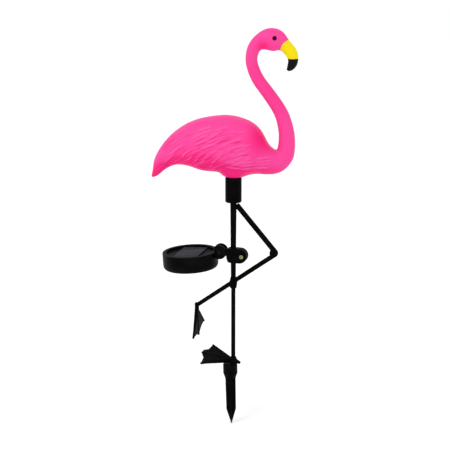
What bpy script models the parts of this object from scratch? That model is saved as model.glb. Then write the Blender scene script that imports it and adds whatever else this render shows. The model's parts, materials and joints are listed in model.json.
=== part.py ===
"""A pink flamingo on a black leg frame, with a solar box clamped to the leg and a spike for the ground.

Units are metres and +Z is up. The bill points to +X and one flank faces -Y. The origin is on the
axis of the leg, at the ground line, which is the top of the spike's collar.
"""
import math

import bmesh
import bpy
from mathutils import Matrix, Vector

# Gaps
GAP = 0.0003                    # between pieces that are fixed to each other
PLAY = 0.0004                   # between pieces that turn on each other
OVERRUN = 0.010                 # how far a cutter runs past what it cuts

# Sides of round shapes
SIDES_OF_BIRD = 32
SIDES_OF_BOX = 36
SIDES_OF_EAR = 28
SIDES_OF_COLLAR = 24
SIDES_OF_TUBE = 16
SIDES_OF_BAR = 12
SIDES_OF_PEG = 10

# Bird
BIRD_LENGTH = 0.185             # tip of the tail to the front of the bill
SEAT_HEIGHT = 0.2493            # underside of the bird, on its collar
BODY_RING_STEP = 0.0048         # between two rings of the mesh, along the body
NECK_RING_STEP = 0.0095
HEAD_RING_STEP = 0.0045
SEAT_FLARE = 0.0090             # how far the flared foot of the belly reaches past the collar
SEAT_LIP = 0.0006               # flat ring of the belly outside the collar

# Feathers
FEATHER_LENGTH = 0.022
FEATHER_WIDTH = 0.0095
FEATHER_RISE = 0.0010
FEATHER_SLOPE = math.radians(27)

# Collar under the belly
COLLAR_RADIUS = 0.01045
COLLAR_HEIGHT = 0.0325
COLLAR_EDGE = 0.0015
SPIGOT_RADIUS = 0.0038
SPIGOT_LENGTH = 0.014

# Leg frame. Its knee, ankle and boss are at shares of the leg's height.
LEG_TOP_RADIUS = 0.0040
LEG_LOW_RADIUS = 0.00315
HIP_OFFSET = 0.0043
HIP_DROP = 0.0040               # below the collar
HIP = Vector((HIP_OFFSET, 0, SEAT_HEIGHT - COLLAR_HEIGHT - HIP_DROP))
KNEE = SEAT_HEIGHT * Vector((0.20778, 0, 0.59848))
ANKLE = SEAT_HEIGHT * Vector((-0.18892, 0, 0.31889))
BOSS_HEIGHT = SEAT_HEIGHT * 0.44324     # where the shin crosses the leg
THIGH_RADIUS = 0.0034
SHIN_TOP_RADIUS = 0.0031
SHIN_RADIUS = 0.00265
KNEE_RADIUS = 0.0056
THIGH_OFFSET = 0.0022           # the thigh and the shin run into the outer side of the knee
SHIN_OFFSET = 0.0026
BOSS_RADIUS = 0.0051
BOSS_LENGTH = 0.0155
BOSS_FOOT_RADIUS = 0.0041
SOCKET_DEPTH = 0.0035
ANKLE_RADIUS = 0.0027
ANKLE_ABOVE = 0.0031            # the upright knuckle at the shin's end, above and below it
ANKLE_BELOW = 0.0022
ANKLE_PEG_RADIUS = 0.0013
ANKLE_PEG_LENGTH = 0.0035

# Lower leg
LOWER_LEG_RADIUS = 0.00275
LOWER_LEG_DEPTH = 0.0105        # below the ground line, in the spike's collar

# Feet
TOE_LENGTH = 0.0440
# Along the edge of each web: degrees off the middle, share of TOE_LENGTH, whether a toe runs there
STANDING_WEB = ((-26.5, 0.990, True), (-10.0, 0.930, False), (-2.0, 1.023, False), (3.5, 1.100, True),
                (9.2, 1.105, False), (14.7, 0.985, False), (27.5, 1.050, True))
HANGING_WEB = ((-25.5, 0.977, True), (-10.0, 0.920, False), (0.5, 1.038, True), (9.0, 0.930, False),
               (17.0, 0.895, False), (29.0, 0.980, True))
TOE_RADIUS = 0.0018
TOE_SPREAD = math.radians(5.3)  # most that a toe's flanks turn away from its ridge
WEB_THICKNESS = 0.0014
FOOT_ROOT = 0.0025              # from the foot's centre to where its toes begin
FOOT_ROWS = 5
STANDING_FOOT_HEIGHT = 0.0059
STANDING_TOE = Vector((-0.886, 0.463, 0.0))
STANDING_SIDE = Vector((0.436, 0.836, 0.332))
HANGING_TOE = Vector((0.038, 0.328, -0.944)).normalized()
HANGING_SIDE = Vector((0.336, 0.873, 0.344))
HEEL_LENGTH = 0.0055            # thick root of the hanging foot
FOOT_HUB_RADIUS = 0.0048
FOOT_HUB_LOW = 0.0003
FOOT_HUB_HEIGHT = 0.0089
SPUR_LENGTH = 0.0105
SPUR_RADIUS = 0.0040
SPUR_DROP = 0.0031

# Spike
SPIKE_OFFSET = -0.0040          # the spike's own axis is beside the leg's
SPIKE_LEAN = math.radians(1.25)
SPIKE_COLLAR_RADIUS = 0.0093
SPIKE_COLLAR_HEIGHT = 0.0140
SPIKE_SHOULDER = 0.0050
SPIKE_LENGTH = 0.0820           # ground line to tip
POINT_LENGTH = 0.0200
FIN_REACH = 0.0068
FIN_THICKNESS = 0.0026
FIN_TIP = 0.0004                # half width left at the point
SPIKE_EDGE = 0.0008
SPIKE_CORE_RADIUS = 0.0028
SPIKE_CORE_END_RADIUS = 0.0018

# Solar box
ARM_TURN = math.radians(180 - 16.5)     # which way the box stands out from the leg
BOX_DROOP = math.radians(3.8)
BOX_RADIUS = 0.0358
BOX_HEIGHT = 0.0220
BOX_WALL = 0.0020
BOX_FOOT_INSET = 0.0043
BOX_FOOT_RADIUS = BOX_RADIUS - BOX_FOOT_INSET
BOX_FOOT_RISE = 0.0060
EAR_RADIUS = 0.0094
EAR_THICKNESS = 0.0030
TONGUE_THICKNESS = 0.0050
TONGUE_RADIUS = 0.0046
BOX_REACH = BOX_RADIUS + TONGUE_RADIUS + PLAY   # hinge axis to the middle of the box
BOX_EDGE = 0.0005
COVER_RIM = 0.0029
COVER_RECESS = 0.0030
COVER_FLOOR = 0.0015
WINDOW_RADIUS = BOX_RADIUS - BOX_WALL - GAP - COVER_RIM
CELL_MARGIN = 0.00134           # corner of the cell to the edge of the window
CELL_PROPORTION = 49 / 32       # width to length
CELL_LENGTH = 2 * (WINDOW_RADIUS - CELL_MARGIN) / math.hypot(1, CELL_PROPORTION)
CELL_WIDTH = CELL_PROPORTION * CELL_LENGTH      # across the arm
CELL_THICKNESS = 0.0012

# Clamp
CLAMP_RISE = 0.0361             # middle of the clamp above the boss
CLAMP_HEIGHT = BOSS_HEIGHT + CLAMP_RISE
HINGE_REACH = 0.0176            # leg axis to hinge axis
HINGE_RISE = 0.0036             # above the middle of the clamp
HINGE_HEIGHT = CLAMP_HEIGHT + HINGE_RISE
LOBE_RADIUS = 0.0095
LOBE_REACH = 0.0091             # leg axis to the middle of the round end
CLAMP_SHOULDER = 0.0050
CLAMP_HALF_THICKNESS = 0.0062
CLAMP_EDGE = 0.0014
SCREW_RADIUS = 0.0015
CLAMP_SCREW_REACH = 0.0125
SCREW_HEAD_RADIUS = 0.0028
SCREW_HEAD_HEIGHT = 0.0018
TILT_HEAD_RADIUS = 0.0030

# The bird's rings from tail to bill: place along and above the seat, direction of travel in degrees,
# half height and half width. Lengths are in 185ths of the bird's length.
BIRD_RINGS = (
    (-102.8, 0.5, 40, 1.5, 2.2),
    (-98.6, 5.6, 48, 4.8, 6.0),
    (-93.2, 16.4, 47, 9.4, 10.5),
    (-82.2, 27.9, 37, 14.8, 15.5),
    (-65.8, 36.8, 20, 23.4, 21.0),
    (-46.4, 40.3, 11, 32.0, 26.0),
    (-24.0, 42.5, 5, 35.8, 29.5),
    (-1.9, 41.7, 0, 37.3, 31.0),
    (19.3, 36.6, -6, 34.5, 29.0),
    (31.9, 31.9, -7, 27.8, 25.0),
    (43.9, 23.1, -1, 19.7, 20.5),
    (54.3, 21.5, 17, 16.5, 16.5),
    (61.9, 25.3, 43, 13.2, 13.8),
    (66.2, 31.9, 66, 11.7, 11.8),
    (67.4, 43.0, 80, 10.9, 10.6),
    (67.1, 55.2, 93, 10.1, 9.8),
    (60.2, 81.1, 113, 8.9, 8.8),
    (44.3, 105.9, 127, 8.2, 8.1),
    (28.7, 127.7, 118, 7.9, 7.8),
    (21.5, 149.1, 95, 7.5, 7.5),
    (23.1, 158.8, 75, 7.9, 7.9),
    (27.2, 167.1, 52, 8.6, 8.7),
    (34.6, 171.9, 30, 11.3, 10.2),
    (43.6, 174.5, 12, 14.4, 11.8),
    (52.5, 174.4, -5, 14.2, 12.0),
    (59.3, 171.9, -22, 11.3, 10.6),
    (63.2, 167.8, -37, 8.4, 8.6),
    (68.8, 162.1, -46, 7.9, 7.3),
    (73.1, 155.6, -61, 7.3, 6.4),
    (74.2, 148.8, -78, 6.5, 5.5),
    (72.8, 141.9, -97, 5.8, 4.5),
    (70.0, 137.4, -115, 3.9, 3.2),
    (67.3, 136.0, -125, 1.8, 1.6),
)
BIRD_SHARE = BIRD_LENGTH / 185
LAST_BODY_RING = 13
LAST_NECK_RING = 20


def clear_scene():
    for thing in list(bpy.data.objects):
        bpy.data.objects.remove(thing, do_unlink=True)


def material(name, colour, roughness, metallic=0.0):
    made = bpy.data.materials.new(name)
    made.use_nodes = True
    shader = made.node_tree.nodes["Principled BSDF"]
    shader.inputs["Base Color"].default_value = (*colour, 1.0)
    shader.inputs["Roughness"].default_value = roughness
    shader.inputs["Metallic"].default_value = metallic
    return made


def object_from(name, bm, parent=None):
    bmesh.ops.recalc_face_normals(bm, faces=bm.faces[:])
    mesh = bpy.data.meshes.new(name)
    bm.to_mesh(mesh)
    bm.free()
    made = bpy.data.objects.new(name, mesh)
    bpy.context.scene.collection.objects.link(made)
    made.parent = parent
    return made


def finish(piece, look, sharp_angle=35):
    piece.data.materials.clear()
    piece.data.materials.append(look)
    piece.data.shade_smooth()
    piece.data.set_sharp_from_angle(angle=math.radians(sharp_angle))
    return piece


def combine(piece, tool, operation):
    """Adds the tool to the piece, or cuts it away, and leaves the tool as a guide."""
    tool.hide_render = True
    tool.display_type = 'WIRE'
    step = piece.modifiers.new(operation.lower() + " " + tool.name, 'BOOLEAN')
    step.operation = operation
    step.object = tool
    step.solver = 'EXACT'


def bridged(rings, closed_ends=True):
    """A skin over rings of points; the first and last ring are filled."""
    bm = bmesh.new()
    made = [[bm.verts.new(point) for point in ring] for ring in rings]
    sides = len(made[0])
    for near, far in zip(made, made[1:]):
        for i in range(sides):
            j = (i + 1) % sides
            bm.faces.new((near[i], near[j], far[j], far[i]))
    if closed_ends:
        bm.faces.new(made[0])
        bm.faces.new(made[-1])
    else:
        for i in range(sides):
            j = (i + 1) % sides
            bm.faces.new((made[-1][i], made[-1][j], made[0][j], made[0][i]))
    return bm


def circle(radius, height, sides):
    turn = 2 * math.pi / sides
    return [Vector((radius * math.cos(i * turn), radius * math.sin(i * turn), height)) for i in range(sides)]


def turned(profile, sides, hollow=False):
    """A solid of revolution about Z. A hollow one joins its last point to its first."""
    rings = [circle(radius, height, sides) for radius, height in profile]
    return bridged(rings, closed_ends=not hollow)


def along(start, end):
    """The placing that turns +Z into the way from start to end."""
    way = (end - start).normalized()
    return Matrix.Translation(start) @ way.to_track_quat('Z', 'Y').to_matrix().to_4x4()


def upright_bore(name, radius, low, high):
    """A cutter for a round hole about Z."""
    return object_from(name, turned([(radius, low), (radius, high)], SIDES_OF_TUBE))


def rod(name, start, end, radius, end_radius=None, sides=SIDES_OF_BAR, dome=0.0):
    """A round bar between two points, tapered or domed at its far end where asked."""
    end_radius = radius if end_radius is None else end_radius
    length = (end - start).length
    profile = [(radius, 0.0), (end_radius, length)]
    if dome:
        profile.append((0.72 * end_radius, length + 0.7 * dome))
        profile.append((0.25 * end_radius, length + dome))
    made = object_from(name, turned(profile, sides))
    made.matrix_world = along(start, end)
    return made


def smooth_step(low, high, value):
    share = min(1.0, max(0.0, (value - low) / (high - low)))
    return share * share * (3 - 2 * share)


# Bird

def ring_step(index):
    if index < LAST_BODY_RING:
        return BODY_RING_STEP
    if index < LAST_NECK_RING:
        return NECK_RING_STEP
    return HEAD_RING_STEP


def bird_stations():
    """Rings in metres, read from a smooth curve through the measured ones."""
    rows = [[x * BIRD_SHARE, z * BIRD_SHARE, math.radians(turn), high * BIRD_SHARE, wide * BIRD_SHARE]
            for x, z, turn, high, wide in BIRD_RINGS]
    run = [0.0]
    for a, b in zip(rows, rows[1:]):
        run.append(run[-1] + math.hypot(b[0] - a[0], b[1] - a[1]))
    last = len(rows) - 1

    def slope(i, k):
        before, after = max(i - 1, 0), min(i + 1, last)
        return (rows[after][k] - rows[before][k]) / (run[after] - run[before])

    stations = []
    for i in range(last):
        length = run[i + 1] - run[i]
        steps = max(1, round(length / ring_step(i)))
        for step in range(steps):
            t = step / steps
            row = []
            for k in range(5):
                a, b = rows[i][k], rows[i + 1][k]
                row.append((2 * t**3 - 3 * t**2 + 1) * a + (t**3 - 2 * t**2 + t) * length * slope(i, k)
                           + (3 * t**2 - 2 * t**3) * b + (t**3 - t**2) * length * slope(i + 1, k))
            stations.append(row)
    stations.append(rows[last])
    return stations


def wing_mask(x, z):
    """One inside the feathered flank and back, fading to nothing at the breast, belly and neck."""
    along_bird = x / BIRD_SHARE
    above_seat = z / BIRD_SHARE
    from_breast = 1 - smooth_step(26, 50, along_bird + 0.25 * (above_seat - 40))
    lower_edge = 22 - 0.10 * (along_bird + 20)
    above_belly = smooth_step(lower_edge - 8, lower_edge + 6, above_seat)
    from_tip = smooth_step(-102, -90, along_bird)
    return from_breast * above_belly * from_tip


def feather_relief(x, z):
    """How far the feathers stand proud: each rises towards its tip and drops to the one behind."""
    down = -x * math.cos(FEATHER_SLOPE) - z * math.sin(FEATHER_SLOPE)
    across = -x * math.sin(FEATHER_SLOPE) + z * math.cos(FEATHER_SLOPE)
    lane = across / FEATHER_WIDTH
    beside = lane - round(lane)
    stagger = 0.5 * (round(lane) % 2)
    place = down / FEATHER_LENGTH + stagger + 1.1 * beside * beside
    return FEATHER_RISE * (place - math.floor(place)) * (1 - 1.6 * beside * beside)


def bird_point(station, angle):
    x, z, turn, high, wide = station
    lift = high * math.cos(angle)
    point = Vector((x - math.sin(turn) * lift, -wide * math.sin(angle), z + math.cos(turn) * lift))
    outward = Vector((-math.sin(turn) * math.cos(angle) / high, -math.sin(angle) / wide,
                      math.cos(turn) * math.cos(angle) / high)).normalized()
    flank = smooth_step(0.10, 0.45, abs(math.sin(angle)))
    point += outward * flank * wing_mask(point.x, point.z) * feather_relief(point.x, point.z)
    return point


def seated(point):
    """Draws the belly down to the flat seat on the collar, with a flared foot round it."""
    radius = math.hypot(point.x, point.y)
    if point.z > 0.3 * COLLAR_HEIGHT or radius > COLLAR_RADIUS + SEAT_FLARE:
        return point
    away = smooth_step(COLLAR_RADIUS + SEAT_LIP, COLLAR_RADIUS + SEAT_FLARE, radius)
    return Vector((point.x, point.y, point.z * away))


def make_bird(look):
    step = 2 * math.pi / SIDES_OF_BIRD
    rings = [[seated(bird_point(station, i * step)) for i in range(SIDES_OF_BIRD)]
             for station in bird_stations()]
    bird = object_from("flamingo_body", bridged(rings))
    bird.location.z = SEAT_HEIGHT
    return finish(bird, look, sharp_angle=60)


# Collar and legs

def make_collar(look):
    top = SEAT_HEIGHT - GAP
    bottom = SEAT_HEIGHT - COLLAR_HEIGHT
    bore = SPIGOT_RADIUS + GAP
    bore_top = bottom + SPIGOT_LENGTH + 2 * GAP
    profile = [(bore, bore_top), (bore, bottom), (COLLAR_RADIUS - COLLAR_EDGE, bottom),
               (COLLAR_RADIUS - 0.3 * COLLAR_EDGE, bottom + 0.3 * COLLAR_EDGE),
               (COLLAR_RADIUS, bottom + COLLAR_EDGE), (COLLAR_RADIUS, top)]
    return finish(object_from("body_collar", turned(profile, SIDES_OF_COLLAR)), look)


def side_normal(start, end):
    """Square to the way from start to end, in the plane of the leg, on its right."""
    way = (end - start).normalized()
    return Vector((way.z, 0, -way.x))


def ankle_end():
    """Where the knuckle of the bent leg ends and the hanging foot begins."""
    return ANKLE + HANGING_TOE * ANKLE_BELOW


def make_leg_frame(look):
    collar_bottom = SEAT_HEIGHT - COLLAR_HEIGHT
    low = BOSS_HEIGHT - BOSS_LENGTH / 2
    high = BOSS_HEIGHT + BOSS_LENGTH / 2
    socket = LOWER_LEG_RADIUS + GAP
    profile = [(socket, low + SOCKET_DEPTH), (socket, low), (BOSS_FOOT_RADIUS, low),
               (BOSS_RADIUS, BOSS_HEIGHT), (LEG_LOW_RADIUS, high), (LEG_TOP_RADIUS, collar_bottom - GAP),
               (SPIGOT_RADIUS, collar_bottom - GAP), (SPIGOT_RADIUS, collar_bottom + SPIGOT_LENGTH)]
    frame = object_from("leg_frame", turned(profile, SIDES_OF_TUBE))

    outside_of_thigh = side_normal(KNEE, HIP) * -THIGH_OFFSET
    thigh = rod("thigh", KNEE - outside_of_thigh, HIP, THIGH_RADIUS)
    shares = ((0.45, -0.68), (0.85, -0.52), (1.0, 0.0), (0.85, 0.52), (0.45, 0.68))
    knee_profile = [(across * KNEE_RADIUS, deep * KNEE_RADIUS) for across, deep in shares]
    knee = object_from("knee", turned(knee_profile, SIDES_OF_TUBE))
    knee.matrix_world = Matrix.Translation(KNEE) @ Matrix.Rotation(math.radians(90), 4, 'X')
    shin_start = KNEE - side_normal(KNEE, ANKLE) * SHIN_OFFSET
    shin_end = ANKLE + (shin_start - ANKLE).normalized() * ANKLE_RADIUS / 2
    shin = rod("shin", shin_start, shin_end, SHIN_TOP_RADIUS, SHIN_RADIUS)
    knuckle = rod("ankle_knuckle", ANKLE - HANGING_TOE * ANKLE_ABOVE, ankle_end(), ANKLE_RADIUS)
    peg_end = ankle_end() + HANGING_TOE * ANKLE_PEG_LENGTH
    peg = rod("ankle_peg", ANKLE, peg_end, ANKLE_PEG_RADIUS, sides=SIDES_OF_PEG)
    for tool in (thigh, knee, shin, knuckle, peg):
        combine(frame, tool, 'UNION')
    return finish(frame, look)


def make_lower_leg(look):
    top = BOSS_HEIGHT - BOSS_LENGTH / 2 + SOCKET_DEPTH - GAP
    profile = [(LOWER_LEG_RADIUS, -LOWER_LEG_DEPTH), (LOWER_LEG_RADIUS, top)]
    return finish(object_from("lower_leg", turned(profile, SIDES_OF_TUBE)), look)


# Feet

def toe_columns(web):
    """Lines outwards from the root: direction, side of the toe, length, half thickness at both ends."""
    columns = []
    for degrees, share, is_toe in web:
        turn = math.radians(degrees)
        length = share * TOE_LENGTH
        if not is_toe:
            half = WEB_THICKNESS / 2
            columns.append((turn, 0, length, half, half))
            continue
        for side in (-1, 0, 1):
            half = TOE_RADIUS if side == 0 else 0.6 * WEB_THICKNESS
            columns.append((turn, side, length - abs(side) * 0.3 * TOE_RADIUS, half, 0.6 * half))
    return columns


def toe_point(column, share):
    """The place on a line at a share of its length, and the half thickness there."""
    turn, side, length, half, half_at_end = column
    reach = FOOT_ROOT + (length - FOOT_ROOT) * share
    spread = TOE_RADIUS * (1 - 0.5 * share) / reach
    angle = turn + side * min(spread, TOE_SPREAD)
    return reach * math.cos(angle), reach * math.sin(angle), half + (half_at_end - half) * share


def toe_way(toe, side, degrees):
    """The direction of a toe that lies so far off the middle of its foot."""
    turn = math.radians(degrees)
    return toe.normalized() * math.cos(turn) + side.normalized() * math.sin(turn)


def webbed_foot(name, web):
    """Three toes with webs between them, thick along each toe; +X is the middle of the foot."""
    bm = bmesh.new()
    top, bottom = [], []
    for column in toe_columns(web):
        places = [toe_point(column, i / FOOT_ROWS) for i in range(FOOT_ROWS + 1)]
        top.append([bm.verts.new((x, y, half)) for x, y, half in places])
        bottom.append([bm.verts.new((x, y, -half)) for x, y, half in places])
    last = len(top) - 1
    for j in range(last):
        for i in range(FOOT_ROWS):
            bm.faces.new((top[j][i], top[j][i + 1], top[j + 1][i + 1], top[j + 1][i]))
            bm.faces.new((bottom[j][i], bottom[j + 1][i], bottom[j + 1][i + 1], bottom[j][i + 1]))
        for i in (0, FOOT_ROWS):
            bm.faces.new((top[j][i], top[j + 1][i], bottom[j + 1][i], bottom[j][i]))
    for j in (0, last):
        for i in range(FOOT_ROWS):
            bm.faces.new((top[j][i], top[j][i + 1], bottom[j][i + 1], bottom[j][i]))
    return object_from(name, bm)


def placing(origin, toe, side):
    normal = toe.cross(side).normalized()
    side = normal.cross(toe.normalized())
    rotation = Matrix((toe.normalized(), side, normal)).transposed()
    return Matrix.Translation(origin) @ rotation.to_4x4()


def rib_under_low_toe():
    """A thin upright rib from the hub to the toe that slopes down, clear of the spike's collar."""
    degrees, share, _ = STANDING_WEB[0]
    toe = toe_way(STANDING_TOE, STANDING_SIDE, degrees)
    reach = 0.9 * share * TOE_LENGTH
    end = STANDING_FOOT_HEIGHT + reach * toe.z
    low = FOOT_HUB_LOW + GAP
    past_collar = SPIKE_COLLAR_RADIUS - SPIKE_OFFSET + PLAY
    outline = [(0.0, STANDING_FOOT_HEIGHT - TOE_RADIUS / 2), (0.0, low), (past_collar, low),
               (reach, end - 0.6 * TOE_RADIUS), (reach, end)]
    rib = prism("foot_rib", outline, -WEB_THICKNESS / 2, WEB_THICKNESS / 2)
    rib.matrix_world = Matrix.Rotation(math.atan2(toe.y, toe.x), 4, 'Z')
    return rib


def make_standing_foot(look):
    origin = Vector((0, 0, STANDING_FOOT_HEIGHT))
    foot = webbed_foot("standing_foot", STANDING_WEB)
    foot.matrix_world = placing(origin, STANDING_TOE, STANDING_SIDE)
    hub_top = FOOT_HUB_LOW + FOOT_HUB_HEIGHT
    hub_profile = [(0.86 * FOOT_HUB_RADIUS, FOOT_HUB_LOW), (FOOT_HUB_RADIUS, STANDING_FOOT_HEIGHT),
                   (0.82 * FOOT_HUB_RADIUS, hub_top)]
    hub = object_from("foot_hub", turned(hub_profile, SIDES_OF_TUBE))
    start = Vector((0, 0, FOOT_HUB_LOW + GAP + SPUR_RADIUS))
    end = origin - STANDING_TOE.normalized() * SPUR_LENGTH
    end.z -= SPUR_DROP
    spur = rod("spur", start, end, SPUR_RADIUS, 0.4 * SPUR_RADIUS, SIDES_OF_PEG)
    bore = upright_bore("foot_bore", LOWER_LEG_RADIUS + GAP, FOOT_HUB_LOW - OVERRUN, hub_top + OVERRUN)
    for tool in (hub, spur, rib_under_low_toe()):
        combine(foot, tool, 'UNION')
    combine(foot, bore, 'DIFFERENCE')
    return finish(foot, look)


def make_raised_foot(look):
    face = ankle_end() + HANGING_TOE * GAP
    foot = webbed_foot("raised_foot", HANGING_WEB)
    foot.matrix_world = placing(face, HANGING_TOE, HANGING_SIDE)
    heel = rod("heel", face, face + HANGING_TOE * HEEL_LENGTH, 1.04 * ANKLE_RADIUS, 0.95 * ANKLE_RADIUS)
    degrees, share, _ = HANGING_WEB[0]
    ridge_start = face + HANGING_TOE * 0.5 * ANKLE_RADIUS
    ridge_end = face + toe_way(HANGING_TOE, HANGING_SIDE, degrees) * share * TOE_LENGTH
    ridge = rod("front_ridge", ridge_start, ridge_end, ANKLE_RADIUS, 0.5 * TOE_RADIUS)
    bore_end = face + HANGING_TOE * (ANKLE_PEG_LENGTH + GAP)
    bore_start = face - HANGING_TOE * OVERRUN
    bore = rod("ankle_bore", bore_start, bore_end, ANKLE_PEG_RADIUS + GAP, sides=SIDES_OF_PEG)
    combine(foot, heel, 'UNION')
    combine(foot, ridge, 'UNION')
    combine(foot, bore, 'DIFFERENCE')
    return finish(foot, look)


def bmesh_box(length, width, height, middle):
    bm = bmesh.new()
    bmesh.ops.create_cube(bm, size=1.0)
    bmesh.ops.scale(bm, vec=(length, width, height), verts=bm.verts[:])
    bmesh.ops.translate(bm, vec=middle, verts=bm.verts[:])
    return bm


# Spike

def fin(name, turn, reach, tip):
    """A flat blade in the XZ plane, turned about Z, that narrows to a tip below the ground line."""
    top = -SPIKE_COLLAR_HEIGHT + 0.3 * reach
    outline = ((reach, top), (0.92 * reach, -SPIKE_LENGTH + POINT_LENGTH), (FIN_TIP, -tip))
    half = FIN_THICKNESS / 2
    bm = bmesh.new()
    sides = []
    for depth in (-half, half):
        right = [bm.verts.new((x, depth, z)) for x, z in outline]
        left = [bm.verts.new((-x, depth, z)) for x, z in reversed(outline)]
        sides.append(right + left)
    front, back = sides
    bm.faces.new(front)
    bm.faces.new(list(reversed(back)))
    for i in range(len(front)):
        j = (i + 1) % len(front)
        bm.faces.new((front[i], back[i], back[j], front[j]))
    bmesh.ops.rotate(bm, cent=(0, 0, 0), matrix=Matrix.Rotation(turn, 3, 'Z'), verts=bm.verts[:])
    return object_from(name, bm)


def make_spike(look):
    placed = Matrix.Translation((SPIKE_OFFSET, 0, 0)) @ Matrix.Rotation(-SPIKE_LEAN, 4, 'Y')
    shoulder = -SPIKE_COLLAR_HEIGHT - SPIKE_SHOULDER
    profile = [(0.70 * FIN_REACH, shoulder - SPIKE_EDGE), (FIN_REACH + 0.5 * SPIKE_EDGE, shoulder),
               (0.93 * SPIKE_COLLAR_RADIUS, -SPIKE_COLLAR_HEIGHT),
               (SPIKE_COLLAR_RADIUS, -0.93 * SPIKE_COLLAR_HEIGHT), (SPIKE_COLLAR_RADIUS, -SPIKE_EDGE),
               (SPIKE_COLLAR_RADIUS - SPIKE_EDGE, 0.0)]
    spike = object_from("ground_stake", turned(profile, SIDES_OF_COLLAR))
    spike.matrix_world = placed
    core_end = Vector((0, 0, -SPIKE_LENGTH + 0.6 * POINT_LENGTH))
    core = rod("spike_core", Vector((0, 0, shoulder)), core_end, SPIKE_CORE_RADIUS, SPIKE_CORE_END_RADIUS)
    core.matrix_world = placed @ core.matrix_world
    combine(spike, core, 'UNION')
    fins = (("wide_fin", 0.0, FIN_REACH, SPIKE_LENGTH),
            ("deep_fin", math.radians(90), 0.94 * FIN_REACH, SPIKE_LENGTH - FIN_THICKNESS))
    for name, turn, reach, tip in fins:
        blade = fin(name, turn, reach, tip)
        blade.matrix_world = placed
        combine(spike, blade, 'UNION')
    bore = upright_bore("spike_bore", LOWER_LEG_RADIUS + GAP, -LOWER_LEG_DEPTH - GAP, OVERRUN)
    combine(spike, bore, 'DIFFERENCE')
    return finish(spike, look)


# Clamp and solar box

def empty(name, placed):
    made = bpy.data.objects.new(name, None)
    bpy.context.scene.collection.objects.link(made)
    made.matrix_world = placed
    return made


def half_clamp_outline():
    """The clamp seen along its screws: a round end, a straight body and a tongue to the hinge."""
    points = []
    for i in range(13):
        turn = math.radians(90 + 15 * i)
        points.append((-LOBE_REACH + LOBE_RADIUS * math.cos(turn), LOBE_RADIUS * math.sin(turn)))
    points.append((0.9 * CLAMP_SHOULDER, -LOBE_RADIUS))
    points.append((1.3 * CLAMP_SHOULDER, -0.85 * LOBE_RADIUS))
    points.append((1.8 * CLAMP_SHOULDER, HINGE_RISE - TONGUE_RADIUS))
    for i in range(7):
        turn = math.radians(-90 + 30 * i)
        points.append((HINGE_REACH + TONGUE_RADIUS * math.cos(turn),
                       HINGE_RISE + TONGUE_RADIUS * math.sin(turn)))
    points.append((1.6 * CLAMP_SHOULDER, HINGE_RISE + TONGUE_RADIUS))
    points.append((1.0 * CLAMP_SHOULDER, LOBE_RADIUS))
    return points


def prism(name, outline, low, high, parent=None):
    """An outline in XZ, given thickness along Y from low to high."""
    bm = bmesh.new()
    near = [bm.verts.new((x, low, z)) for x, z in outline]
    far = [bm.verts.new((x, high, z)) for x, z in outline]
    bm.faces.new(near)
    bm.faces.new(list(reversed(far)))
    for i in range(len(near)):
        j = (i + 1) % len(near)
        bm.faces.new((near[i], far[i], far[j], near[j]))
    return object_from(name, bm, parent)


def cross_pin(name, place, radius, low, high, parent, sides=SIDES_OF_BAR):
    """A round bar along Y at a place in XZ."""
    x, z = place
    made = rod(name, Vector((x, low, z)), Vector((x, high, z)), radius, sides=sides)
    made.parent = parent
    return made


def make_clamp_half(name, hand, swivel, look):
    """hand is 1 for the half towards +Y of the arm, -1 for the other."""
    inner = hand * GAP / 2
    outer = hand * CLAMP_HALF_THICKNESS
    half = prism(name, half_clamp_outline(), min(inner, outer), max(inner, outer), swivel)
    edge = half.modifiers.new("edge", 'BEVEL')
    edge.width = CLAMP_EDGE
    edge.segments = 1
    edge.limit_method = 'WEIGHT'
    weights = half.data.attributes.new("bevel_weight_edge", 'FLOAT', 'EDGE')
    for line in half.data.edges:
        ends = [half.data.vertices[i].co.y for i in line.vertices]
        weights.data[line.index].value = 1.0 if max(abs(end - outer) for end in ends) < 1e-6 else 0.0
    start = HINGE_REACH - EAR_RADIUS - PLAY
    size = 2 * (EAR_RADIUS + OVERRUN)
    middle = Vector((start + size / 2, hand * (TONGUE_THICKNESS + CLAMP_HALF_THICKNESS) / 2, 0))
    relief = object_from(name + "_relief", bmesh_box(size, CLAMP_HALF_THICKNESS, size, middle), swivel)
    length = LOBE_RADIUS + OVERRUN
    groove_radius = (LEG_LOW_RADIUS + LEG_TOP_RADIUS) / 2 + PLAY
    groove = upright_bore(name + "_groove", groove_radius, -length, length)
    groove.parent = swivel
    screw_place = (-CLAMP_SCREW_REACH, 0.0)
    hinge_place = (HINGE_REACH, HINGE_RISE)
    screw_hole = cross_pin(name + "_screw_hole", screw_place, SCREW_RADIUS + GAP, -length, length, swivel)
    hinge_hole = cross_pin(name + "_hinge_hole", hinge_place, SCREW_RADIUS + PLAY, -length, length, swivel)
    for cutter in (relief, groove, screw_hole, hinge_hole):
        combine(half, cutter, 'DIFFERENCE')
    return finish(half, look)


def headed_screw(name, place, low, head_base, parent, head_radius, look):
    """A screw along Y whose round head is at its far end, which may be towards +Y or -Y."""
    x, z = place
    hand = 1 if head_base > low else -1
    shank = abs(head_base - low)
    profile = [(SCREW_RADIUS, 0.0), (SCREW_RADIUS, shank), (head_radius, shank),
               (head_radius, shank + 0.5 * SCREW_HEAD_HEIGHT),
               (0.7 * head_radius, shank + 0.9 * SCREW_HEAD_HEIGHT),
               (0.25 * head_radius, shank + SCREW_HEAD_HEIGHT)]
    made = object_from(name, turned(profile, SIDES_OF_TUBE), parent)
    made.location = (x, low, z)
    made.rotation_euler = (math.radians(-90 * hand), 0, 0)
    return finish(made, look)


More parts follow.
